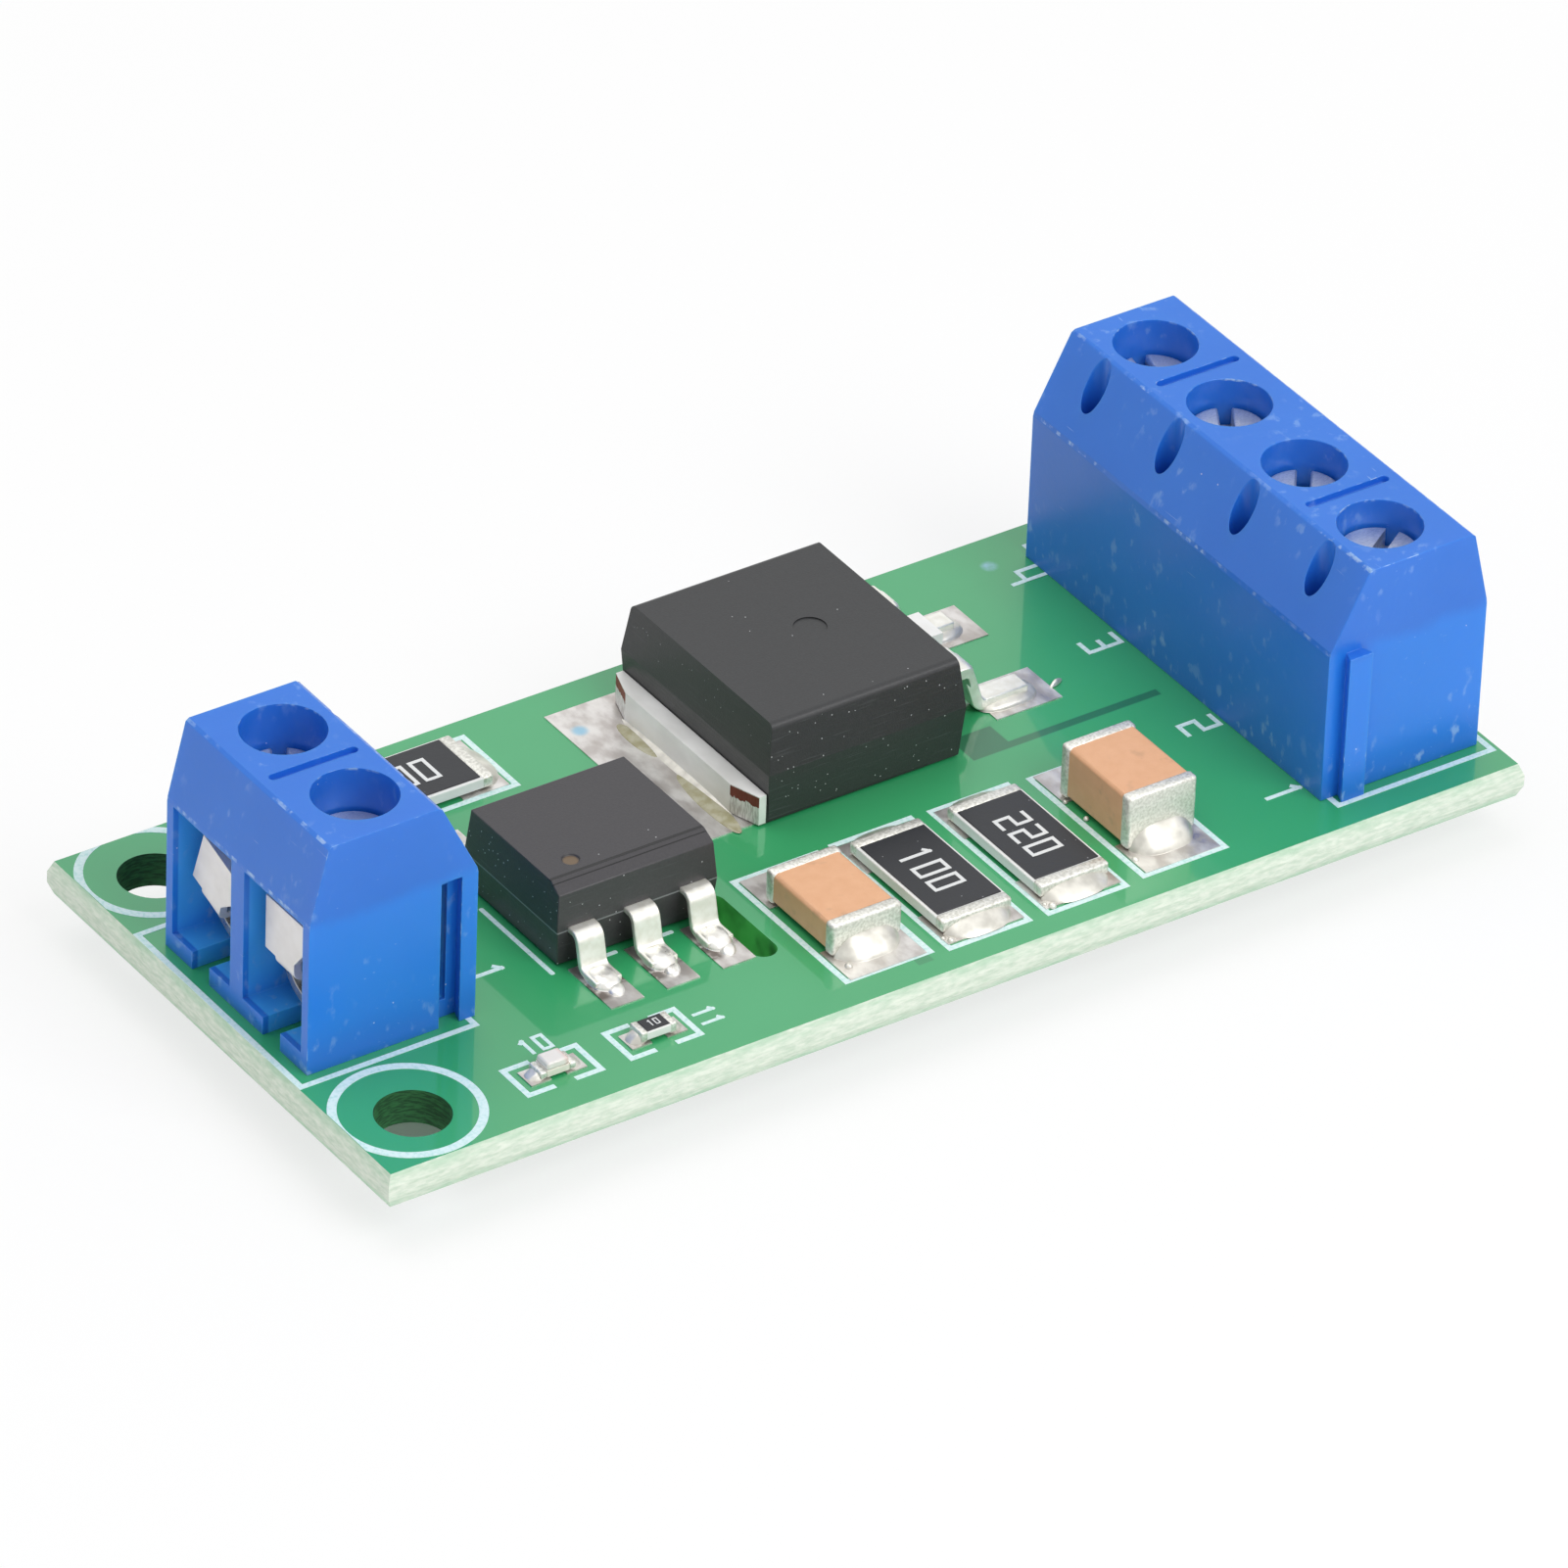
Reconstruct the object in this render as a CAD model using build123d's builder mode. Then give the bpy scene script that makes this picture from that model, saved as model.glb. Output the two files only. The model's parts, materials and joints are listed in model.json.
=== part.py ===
from build123d import *

import os
from math import radians, sin

# Thyristor control module: a small green circuit board that switches a mains load.
# A low voltage on the two-way screw terminal lights the diode inside the optocoupler, which
# fires the thyristor chip in the middle, and the load hangs on the four-way screw terminal.
#
# Frame: X runs along the board from the control terminal to the mains terminal, Y runs from
# the front edge with the indicator to the back edge, and Z is up. The origin lies under the
# middle of the board, at the tips of the terminal pins that stand out below it.

os.makedirs("parts", exist_ok=True)

# Board
board_length = 52.4
board_width = 24.2
board_thickness = 1.5
score_depth = 0.2           # how far the scored edges lie inside the snapped web
web_thickness = 0.5         # uncut core between the two score lines
mount_hole_diameter = 3.0
mount_hole_inset = 3.0      # from the control end
mount_hole_spacing = 18.15
slot_width = 1.1            # isolation slot routed beside the optocoupler
slot_length = 4.6
slot_x = -6.05
slot_y = -5.25
pad_thickness = 0.05        # tinned copper
solder_gap = 0.05           # solder film between a pad and what sits on it

# Screw terminals, one moulding with two ways and one with four
pitch = 5.0
block_depth = 7.5
block_height = 10.1
back_slope_height = 6.75    # where the slope on the back face starts
wire_slope_height = 6.75    # where the slope on the wire face starts
top_back = 1.72             # top face, measured from the back face
top_front = 6.69
screw_line = 3.96           # screw axis, measured from the back face
control_block_inset = 0.9   # wire face behind the end of the board
mains_block_inset = 0.8
cell_wall = 0.9
cell_floor = 0.8
cell_back = 1.0             # wall behind a cell
mouth_lip = 0.15            # lip of the mouth under the slope's edge
mouth_depth = 1.65          # mouth in front of the contact
mouth_wall = 0.4            # wall above the mouth
flap_room_top = 7.5         # ceiling in front of the contact, where the plate's flap rises
slit_clearance = 0.1        # slit in the floor beside the contact's pin
screw_hole_diameter = 3.4
mark_hole_diameter = 1.1    # blind hole that cuts the back slope
mark_hole_floor = 4.5
groove_width = 0.4
groove_depth = 0.3
groove_length = 3.9
rib_from_back = 0.8         # dovetail that joins neighbouring mouldings
rib_root = 0.75
rib_tip = 1.1
rib_reach = 0.5
rib_clearance = 0.08
block_edge = 0.12           # bevel along the moulding's long edges

# Contact, pressure plate and screw of one way
contact_clearance = 0.1
contact_wall = 0.4
contact_length = 4.1
contact_height = 5.1
contact_top_wall = 1.0      # threaded top of the contact
contact_bend_spare = 0.1    # flat left between the two bends at the bottom of the loop
pin_diameter = 1.0
pin_hole_clearance = 0.15
tail_length = 1.9           # pin below the board
screw_diameter = 2.6
thread_clearance = 0.05
screw_head_diameter = 3.1
screw_head_height = 1.2
screw_length = 5.1
screw_slot_width = 0.55
screw_slot_depth = 0.8
control_screw_depth = 1.85  # head below the top of the moulding
mains_screw_depths = (1.2, 1.3, 1.2, 1.5)
control_screw_turns = (118, 63)
mains_screw_turns = (33, 52, 60, 78)
plate_thickness = 0.35
plate_width = 2.7
plate_height = 2.9
plate_corner_width = 0.95   # cut corner of the flap
plate_corner_height = 1.2
tongue_width = 1.3
tongue_length = 3.7
plate_bend = 0.5
plate_gap = 0.67            # between the plate's flap and the contact's front edge
control_plate_hangs = ((0, 0.15), (-18, 0.4))   # roll, and shift along Y
mains_plate_hangs = ((0, 0),) * 4

# Thyristor in a surface package with a cooling tab
thyristor_x = 3.2
thyristor_y = 4.8
package_length = 9.2        # at the parting line
package_width = 10.3
package_top = 4.5
package_parting = 2.35
package_draft = 7
package_draft_below = 4
package_edge = 0.3          # rounding along the two long top edges
ejector_mark_diameter = 1.35
ejector_mark_depth = 0.05
ejector_mark_shift = 0.7    # along X from the middle of the package
tab_front = 0.75            # tab in front of the package
tab_width = 10.0
tab_thickness = 1.3
tab_corner_length = 0.45    # sheared corners of the tab
tab_corner_width = 1.35
tab_inside = 7.6            # tab inside the package
lead_thickness = 0.5
lead_pitch = 2.54
lead_level = 2.45           # middle of a lead's shoulder above the board
lead_shoulder_width = 1.7
lead_shoulder_length = 1.5
lead_foot_width = 0.95
lead_slant = 0.7            # along X between shoulder and foot
lead_bend = 0.45
lead_reach = 4.5            # from the package to the toe
lead_grip = 1.0             # lead inside the package
stub_length = 1.85          # middle lead, cut short
tab_pad_front = 3.25        # tab's land in front of the package
tab_pad_length = 9.8
tab_pad_width = 10.3
tab_pad_shift = 0.4         # along Y from the middle of the package
lead_pad_length = 3.1
lead_pad_width = 2.4
lead_pad_beyond = 1.15      # lead's land past the toe

# Optocoupler
opto_x = -9.9
opto_y = -0.85
opto_length = 7.3
opto_width = 6.5
opto_height = 3.5
opto_stand = 0.1
opto_parting = 1.65
opto_draft = 5
opto_bevel_height = 0.35
opto_bevel_width = 0.6
opto_pitch = 2.54
opto_lead_thickness = 0.25
opto_lead_width = 1.2
opto_lead_out = 0.5
opto_lead_splay = 0.35
opto_foot = 1.1
opto_lead_grip = 0.6
opto_lead_bend = 0.38
opto_pad_length = 3.0
opto_pad_width = 1.5
opto_pad_gap = 0.25         # land's inner end in front of the package
pin_mark_diameter = 0.7
pin_mark_depth = 0.08
pin_mark_inset = 1.6        # from the package's outline

# Chips in a row along the front edge, and one chip at the back
chip_row_y = -6.7
capacitor_xs = (-2.65, 11.05)
capacitor_heights = (1.45, 2.4)
capacitor_length = 4.6
capacitor_width = 3.2
capacitor_band = 0.55
capacitor_plating = 0.05
resistor_xs = (1.85, 6.38)
back_resistor_x = -12.1
back_resistor_y = 8.95
resistor_length = 6.35
resistor_width = 3.2
resistor_thickness = 0.55
resistor_band = 0.55
resistor_plating = 0.04
coat_thickness = 0.05
coat_margin = 0.12
chip_pad_width = 3.5
chip_pad_length = 2.1
chip_pad_reach = 7.6        # outer end to outer end of a chip's two pads
chip_edge = 0.12            # bevel of a ceramic block's edges

# Solder in front of a chip's ends
mound_reach = 0.7
mound_width = 2.8
mound_bulge = 0.08
capacitor_mound_heights = (0.75, 0.85)
resistor_mound_height = 0.35

# Indicator and its small resistor
indicator_x = -17.25
small_resistor_x = -12.72
small_row_y = -9.48
small_length = 1.6
small_width = 0.85
small_thickness = 0.45
small_band = 0.3
small_coat_margin = 0.06
small_pad_length = 0.9
small_pad_width = 1.0
small_pad_reach = 2.5
small_mound_reach = 0.3
small_mound_width = 0.8
small_mound_height = 0.25
indicator_base_thickness = 0.3
indicator_lens_length = 1.0
indicator_lens_height = 0.3
indicator_lens_draft = 8

# Solder under and round the leads, and at the pins
skirt_height = 0.28
skirt_draft = 35
opto_skirt_side = 0.15      # solder beside a lead's foot
lead_skirt_side = 0.3
skirt_end = 0.5             # solder past a lead's toe
tab_mound_height = 0.5
tab_mound_reach = 0.5
pin_land_diameter = 2.1
pin_solder_height = 1.1
pin_solder_rim = 0.1        # upright part of the cone at its land
pin_solder_slope = 0.4      # along the board, over the cone's height
pin_solder_sides = 7

board_bottom = tail_length
board_top = board_bottom + board_thickness
seat_height = pad_thickness + solder_gap
score_height = (board_thickness - web_thickness) / 2
mount_hole_x = mount_hole_inset - board_length / 2

# Each terminal is told by its name, the X of its back face, the way its wires come out (+1
# along X or -1), how deep and how far turned each screw stands, and how its plates hang.
control_back = control_block_inset + block_depth - board_length / 2
mains_back = board_length / 2 - mains_block_inset - block_depth
terminals = (
    ("control", control_back, -1, (control_screw_depth,) * 2, control_screw_turns, control_plate_hangs),
    ("mains", mains_back, 1, mains_screw_depths, mains_screw_turns, mains_plate_hangs),
)
cell_width = pitch - cell_wall
cell_top = cell_floor + contact_height + 2 * contact_clearance
contact_front = block_depth - mouth_depth

package_front = thyristor_x - package_length / 2
package_back = thyristor_x + package_length / 2
lead_ys = (thyristor_y - lead_pitch, thyristor_y + lead_pitch)
toe_x = package_back + lead_reach

# Chips are told by their centre and by their turn from lying along X
row_chips = [(x, chip_row_y, 90) for x in sorted(capacitor_xs + resistor_xs)]
big_chips = row_chips + [(back_resistor_x, back_resistor_y, 0)]
small_chips = [(indicator_x, small_row_y, 0), (small_resistor_x, small_row_y, 0)]

# The optocoupler's leads are numbered round the body from its marked corner
opto_xs = [opto_x + (number - 1) * opto_pitch for number in range(3)]
opto_leads = [(x, -1) for x in opto_xs] + [(x, 1) for x in reversed(opto_xs)]
opto_pad_middle = opto_width / 2 + opto_pad_gap + opto_pad_length / 2


def way_places(ways):
    """Y of each way's screw axis, from the front of the board to the back."""
    return [(number - (ways - 1) / 2) * pitch for number in range(ways)]


def pin_places():
    """XY of every terminal pin."""
    return [(back + out * screw_line, y)
            for _, back, out, depths, *_ in terminals for y in way_places(len(depths))]


# Circuit board, snapped from a scored panel: the core stands proud of both score lines
with BuildPart() as board:
    with BuildSketch(Plane.XY.offset(board_bottom)):
        Rectangle(board_length, board_width)
    extrude(amount=board_thickness)
    for face in board.faces().filter_by(Axis.Z):
        chamfer(face.edges(), score_depth, score_height, reference=face)
    with BuildSketch(Plane.XY.offset(board_bottom)):
        with Locations((mount_hole_x, -mount_hole_spacing / 2), (mount_hole_x, mount_hole_spacing / 2)):
            Circle(mount_hole_diameter / 2)
        with Locations(*pin_places()):
            Circle(pin_diameter / 2 + pin_hole_clearance)
        with Locations((slot_x, slot_y)):
            SlotOverall(slot_length, slot_width, rotation=90)
    extrude(amount=board_thickness, mode=Mode.SUBTRACT)
board.part.label = "circuit_board"
export_step(board.part, "parts/circuit_board.step")

# Tinned copper lands that the parts are soldered to
with BuildPart() as pads:
    with BuildSketch(Plane.XY.offset(board_top)):
        for x, y, turn in big_chips:
            with Locations(Location((x, y, 0), turn)):
                with GridLocations(chip_pad_reach - chip_pad_length, 0, 2, 1):
                    Rectangle(chip_pad_length, chip_pad_width)
        for x, y, turn in small_chips:
            with Locations(Location((x, y, 0), turn)):
                with GridLocations(small_pad_reach - small_pad_length, 0, 2, 1):
                    Rectangle(small_pad_length, small_pad_width)
        with Locations((opto_x, opto_y)):
            with GridLocations(opto_pitch, 2 * opto_pad_middle, 3, 2):
                Rectangle(opto_pad_width, opto_pad_length)
        with Locations((package_front - tab_pad_front + tab_pad_length / 2, thyristor_y + tab_pad_shift)):
            Rectangle(tab_pad_length, tab_pad_width)
        with Locations(*[(toe_x + lead_pad_beyond - lead_pad_length / 2, y) for y in lead_ys]):
            Rectangle(lead_pad_length, lead_pad_width)
    extrude(amount=pad_thickness)
pads.part.label = "tinned_pads"
export_step(pads.part, "parts/tinned_pads.step")

# Terminals
for name, back, out, depths, turns, hangs in terminals:
    ways = len(depths)
    places = way_places(ways)
    width = ways * pitch
    side = Plane((back, 0, board_top), x_dir=(out, 0, 0), z_dir=(0, -out, 0))

    # Housing, moulded in one piece: a ridge profile with open cells on the wire side
    with BuildPart() as housing:
        with BuildSketch(side):
            with BuildLine():
                Polyline((0, 0), (0, back_slope_height), (top_back, block_height), (top_front, block_height),
                         (block_depth, wire_slope_height), (block_depth, 0), close=True)
            make_face()
        extrude(amount=width / 2, both=True)
        chamfer(housing.edges().filter_by(Axis.Y).group_by(Axis.Z)[1:], block_edge)

        # Cells: the contact's room, the taller room for the plate's flap, and the mouth
        rooms = (
            (cell_back, contact_front, cell_top),
            (contact_front, block_depth - mouth_wall, flap_room_top),
            (block_depth - mouth_wall, block_depth, wire_slope_height - mouth_lip),
        )
        slit_back = screw_line - pin_diameter
        for y in places:
            for near, far, ceiling in rooms:
                with BuildSketch(side.offset(-out * y)):
                    with Locations(((near + far) / 2, (cell_floor + ceiling) / 2)):
                        Rectangle(far - near, ceiling - cell_floor)
                extrude(amount=cell_width / 2, both=True, mode=Mode.SUBTRACT)
            with BuildSketch(side.offset(-out * y)):
                with Locations(((slit_back + block_depth) / 2, cell_floor / 2)):
                    Rectangle(block_depth - slit_back, cell_floor)
            extrude(amount=pin_diameter / 2 + slit_clearance, both=True, mode=Mode.SUBTRACT)

        # Screw holes from the top, and the blind holes that nick the back slope
        with BuildSketch(Plane.XY.offset(board_top + cell_top)):
            with Locations(*[(back + out * screw_line, y) for y in places]):
                Circle(screw_hole_diameter / 2)
        extrude(amount=block_height - cell_top, mode=Mode.SUBTRACT)
        with BuildSketch(Plane.XY.offset(board_top + mark_hole_floor)):
            with Locations(*[(back + out * (top_back - mark_hole_diameter / 2), y) for y in places]):
                Circle(mark_hole_diameter / 2)
        extrude(amount=block_height - mark_hole_floor, mode=Mode.SUBTRACT)

        # A groove in the top between the two ways of each pair
        with BuildSketch(Plane.XY.offset(board_top + block_height - groove_depth)):
            pair_middles = [(places[pair] + places[pair + 1]) / 2 for pair in range(0, ways, 2)]
            with Locations(*[(back + out * (top_back + top_front) / 2, y) for y in pair_middles]):
                SlotOverall(groove_length, groove_width)
        extrude(amount=groove_depth, mode=Mode.SUBTRACT)

        # Dovetail rib on one end and its groove on the other
        rib_middle = back + out * (rib_from_back + rib_root / 2)
        for end, spare, how in ((-out, 0, Mode.ADD), (out, rib_clearance, Mode.SUBTRACT)):
            with BuildSketch(Plane.XY.offset(board_top)):
                y_end = end * width / 2
                y_tip = y_end - out * (rib_reach + spare)
                root_half = rib_root / 2 + spare
                tip_half = rib_tip / 2 + spare
                with BuildLine():
                    Polyline((rib_middle - root_half, y_end), (rib_middle + root_half, y_end),
                             (rib_middle + tip_half, y_tip), (rib_middle - tip_half, y_tip), close=True)
                make_face()
            extrude(amount=wire_slope_height - block_edge, mode=how)
    housing.part.label = f"{name}_terminal_housing"
    export_step(housing.part, f"parts/{name}_terminal_housing.step")

    for number, (y, depth, turn, (roll, aside)) in enumerate(zip(places, depths, turns, hangs), start=1):
        axis_x = back + out * screw_line
        across = Plane((axis_x, y, board_top), x_dir=(0, out, 0), z_dir=(out, 0, 0))

        # Contact: a folded loop round the wire, threaded at the top, with its pin riveted on
        loop_width = cell_width - 2 * contact_clearance
        loop_bottom = cell_floor + contact_clearance
        loop_top = loop_bottom + contact_height
        loop_front = contact_front - screw_line
        with BuildPart() as contact:
            with BuildSketch(across.offset(loop_front - contact_length)):
                with Locations((0, (loop_bottom + loop_top) / 2)):
                    outline = Rectangle(loop_width, loop_top - loop_bottom)
                fillet(outline.vertices().group_by(Axis.Y)[0], loop_width / 2 - contact_bend_spare)
            extrude(amount=contact_length)
            with BuildSketch(across.offset(loop_front - contact_length)):
                hollow_bottom = loop_bottom + contact_wall
                hollow_top = loop_top - contact_top_wall
                with Locations((0, (hollow_bottom + hollow_top) / 2)):
                    hollow = Rectangle(loop_width - 2 * contact_wall, hollow_top - hollow_bottom)
                fillet(hollow.vertices().group_by(Axis.Y)[0],
                       loop_width / 2 - contact_wall - contact_bend_spare)
            extrude(amount=contact_length, mode=Mode.SUBTRACT)
            with BuildSketch(Plane.XY.offset(board_top + hollow_top)):
                with Locations((axis_x, y)):
                    Circle(screw_diameter / 2 + thread_clearance)
            extrude(amount=contact_top_wall, mode=Mode.SUBTRACT)
            with BuildSketch(Plane.XY):
                with Locations((axis_x, y)):
                    Circle(pin_diameter / 2)
            extrude(amount=board_top + loop_bottom + contact_wall / 2)
        contact.part.label = f"{name}_contact_{number}"
        export_step(contact.part, f"parts/{name}_contact_{number}.step")

        # Screw, with a slotted cylinder head that sinks in the moulding as it clamps
        head_top = board_top + block_height - depth
        with BuildPart() as screw:
            with BuildSketch(Plane.XY.offset(head_top - screw_length)):
                with Locations((axis_x, y)):
                    Circle(screw_diameter / 2)
            extrude(amount=screw_length)
            with BuildSketch(Plane.XY.offset(head_top - screw_head_height)):
                with Locations((axis_x, y)):
                    Circle(screw_head_diameter / 2)
            extrude(amount=screw_head_height)
            with BuildSketch(Plane.XY.offset(head_top - screw_slot_depth)):
                with Locations(Location((axis_x, y, 0), turn)):
                    Rectangle(2 * screw_head_diameter, screw_slot_width)
            extrude(amount=screw_slot_depth, mode=Mode.SUBTRACT)
        screw.part.label = f"{name}_screw_{number}"
        export_step(screw.part, f"parts/{name}_screw_{number}.step")

        # Pressure plate: a flap in the mouth on a tongue that lies under the screw's tip. The
        # frame has its origin at the tip, rolled and shifted where the plate hangs loose
        drop = tongue_width / 2 * sin(radians(abs(roll)))
        hang = (axis_x, y + aside, head_top - screw_length - drop)
        plate_side = Plane(hang, x_dir=(out, 0, 0), z_dir=(0, -out, 0)).rotated((out * roll, 0, 0))
        plate_front = Plane(plate_side.origin, x_dir=-plate_side.z_dir, z_dir=plate_side.x_dir)
        flap_front = loop_front + plate_gap + plate_thickness
        flap_top = plate_height - plate_thickness
        flap_low = plate_bend - plate_thickness
        half = plate_width / 2
        with BuildPart() as plate:
            with BuildSketch(plate_side):
                with BuildLine():
                    FilletPolyline((flap_front - tongue_length, -plate_thickness),
                                   (flap_front, -plate_thickness), (flap_front, flap_top), radius=plate_bend)
                    offset(amount=plate_thickness, side=Side.LEFT)
                make_face()
            extrude(amount=tongue_width / 2, both=True)
            with BuildSketch(plate_front.offset(flap_front)):
                with BuildLine():
                    Polyline((-half, flap_top), (-half, flap_low), (half - plate_corner_width, flap_low),
                             (half, flap_low + plate_corner_height), (half, flap_top), close=True)
                make_face()
            extrude(amount=-plate_thickness)
        plate.part.label = f"{name}_plate_{number}"
        export_step(plate.part, f"parts/{name}_plate_{number}.step")

# Thyristor, in a frame on the board under the middle of its package
thyristor_frame = Plane((thyristor_x, thyristor_y, board_top))
tab_start = -package_length / 2 - tab_front
tab_end = tab_inside - package_length / 2
foot_level = seat_height + lead_thickness / 2

# Cooling tab and middle lead: one strip, stepped up inside the package and cut short outside
with BuildPart() as tab:
    with BuildSketch(thyristor_frame.offset(seat_height)):
        with BuildLine():
            Polyline((tab_end, 0), (tab_end, tab_width / 2), (tab_start + tab_corner_length, tab_width / 2),
                     (tab_start, tab_width / 2 - tab_corner_width), (tab_start, 0))
            mirror(about=Plane.XZ)
        make_face()
    extrude(amount=tab_thickness)
    strip_side = Plane(thyristor_frame.origin, x_dir=(1, 0, 0), z_dir=(0, -1, 0))
    with BuildSketch(strip_side):
        with BuildLine():
            FilletPolyline((tab_end - lead_thickness, seat_height + tab_thickness - lead_thickness / 2),
                           (tab_end, seat_height + tab_thickness - lead_thickness / 2),
                           (package_length / 2 - lead_grip, lead_level),
                           (package_length / 2 + stub_length, lead_level), radius=lead_bend)
        trace(line_width=lead_thickness)
    extrude(amount=lead_shoulder_width / 2, both=True)
tab.part.label = "thyristor_tab"
export_step(tab.part, "parts/thyristor_tab.step")

# Outer leads, wide at the shoulder and narrow from the bend to the toe
lead_parts = []
for number, y in enumerate(lead_ys, start=1):
    with BuildPart() as lead:
        with BuildSketch(Plane((package_back, y, board_top), x_dir=(1, 0, 0), z_dir=(0, -1, 0))):
            with BuildLine():
                FilletPolyline((-lead_grip, lead_level), (lead_shoulder_length, lead_level),
                               (lead_shoulder_length + lead_slant, foot_level),
                               (lead_reach, foot_level), radius=lead_bend)
            trace(line_width=lead_thickness)
        extrude(amount=lead_shoulder_width / 2, both=True)
        with BuildSketch(Plane((package_back, y, board_top))):
            with Locations((-lead_grip, 0)):
                outward = (Align.MIN, Align.CENTER)
                Rectangle(lead_grip + lead_shoulder_length, lead_shoulder_width, align=outward)
                Rectangle(lead_grip + lead_reach, lead_foot_width, align=outward)
        extrude(amount=package_top, mode=Mode.INTERSECT)
    lead.part.label = f"thyristor_lead_{number}"
    export_step(lead.part, f"parts/thyristor_lead_{number}.step")
    lead_parts.append(lead.part)

# Package, moulded round its metal: drafted up and down from the parting line
with BuildPart() as package:
    with BuildSketch(thyristor_frame.offset(package_parting)):
        Rectangle(package_length, package_width)
    extrude(amount=package_top - package_parting, taper=package_draft)
    fillet(package.faces().sort_by(Axis.Z)[-1].edges().filter_by(Axis.X), package_edge)
    extrude(package.faces().sort_by(Axis.Z)[0], amount=package_parting - seat_height,
            taper=package_draft_below)
    with BuildSketch(thyristor_frame.offset(package_top)):
        with Locations((ejector_mark_shift, 0)):
            Circle(ejector_mark_diameter / 2)
    extrude(amount=-ejector_mark_depth, mode=Mode.SUBTRACT)
    add([tab.part, *lead_parts], mode=Mode.SUBTRACT)
package.part.label = "thyristor_package"
export_step(package.part, "parts/thyristor_package.step")

# Optocoupler leads, bent out like wings and down to their lands
opto_lead_parts = []
for number, (x, hand) in enumerate(opto_leads, start=1):
    edge = Plane((x, opto_y + hand * opto_width / 2, board_top), x_dir=(0, hand, 0), z_dir=(hand, 0, 0))
    opto_foot_level = seat_height + opto_lead_thickness / 2
    foot_start = opto_lead_out + opto_lead_splay
    with BuildPart() as opto_lead:
        with BuildSketch(edge):
            with BuildLine():
                FilletPolyline((-opto_lead_grip, opto_parting), (opto_lead_out, opto_parting),
                               (foot_start, opto_foot_level), (foot_start + opto_foot, opto_foot_level),
                               radius=opto_lead_bend)
            trace(line_width=opto_lead_thickness)
        extrude(amount=opto_lead_width / 2, both=True)
    opto_lead.part.label = f"optocoupler_lead_{number}"
    export_step(opto_lead.part, f"parts/optocoupler_lead_{number}.step")
    opto_lead_parts.append(opto_lead.part)

# Optocoupler body, with the bevel along its marked side and a dot beside lead 1
with BuildPart() as opto:
    opto_top = opto_stand + opto_height
    with BuildSketch(Plane((opto_x, opto_y, board_top + opto_parting))):
        Rectangle(opto_length, opto_width)
    extrude(amount=opto_top - opto_parting, taper=opto_draft)
    top_face = opto.faces().sort_by(Axis.Z)[-1]
    marked_edge = top_face.edges().filter_by(Axis.X).sort_by(Axis.Y)[0]
    chamfer(marked_edge, opto_bevel_height, opto_bevel_width, reference=opto.faces().sort_by(Axis.Y)[0])
    extrude(opto.faces().sort_by(Axis.Z)[0], amount=opto_parting - opto_stand, taper=opto_draft)
    with BuildSketch(Plane((opto_x, opto_y, board_top + opto_top))):
        with Locations((pin_mark_inset - opto_length / 2, pin_mark_inset - opto_width / 2)):
            Circle(pin_mark_diameter / 2)
    extrude(amount=-pin_mark_depth, mode=Mode.SUBTRACT)
    add(opto_lead_parts, mode=Mode.SUBTRACT)
opto.part.label = "optocoupler_body"
export_step(opto.part, "parts/optocoupler_body.step")

# Ceramic capacitors: a block with a metal cap wrapped round each end
for number, (x, height) in enumerate(zip(capacitor_xs, capacitor_heights), start=1):
    base = Plane((x, chip_row_y, board_top + seat_height), x_dir=(0, 1, 0), z_dir=(0, 0, 1))
    with BuildPart() as block:
        with BuildSketch(base.offset(capacitor_plating)):
            Rectangle(capacitor_length - 2 * capacitor_plating, capacitor_width - 2 * capacitor_plating)
        extrude(amount=height - 2 * capacitor_plating)
        chamfer(block.edges(), chip_edge)
    block.part.label = f"capacitor_{number}_body"
    export_step(block.part, f"parts/capacitor_{number}_body.step")
    with BuildPart() as caps:
        with BuildSketch(base):
            Rectangle(capacitor_length, capacitor_width)
        extrude(amount=height)
        chamfer(caps.edges(), chip_edge + capacitor_plating)
        with BuildSketch(base):
            Rectangle(capacitor_length - 2 * capacitor_band, capacitor_width)
        extrude(amount=height, mode=Mode.SUBTRACT)
        add(block.part, mode=Mode.SUBTRACT)
    caps.part.label = f"capacitor_{number}_end_caps"
    export_step(caps.part, f"parts/capacitor_{number}_end_caps.step")

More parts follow.
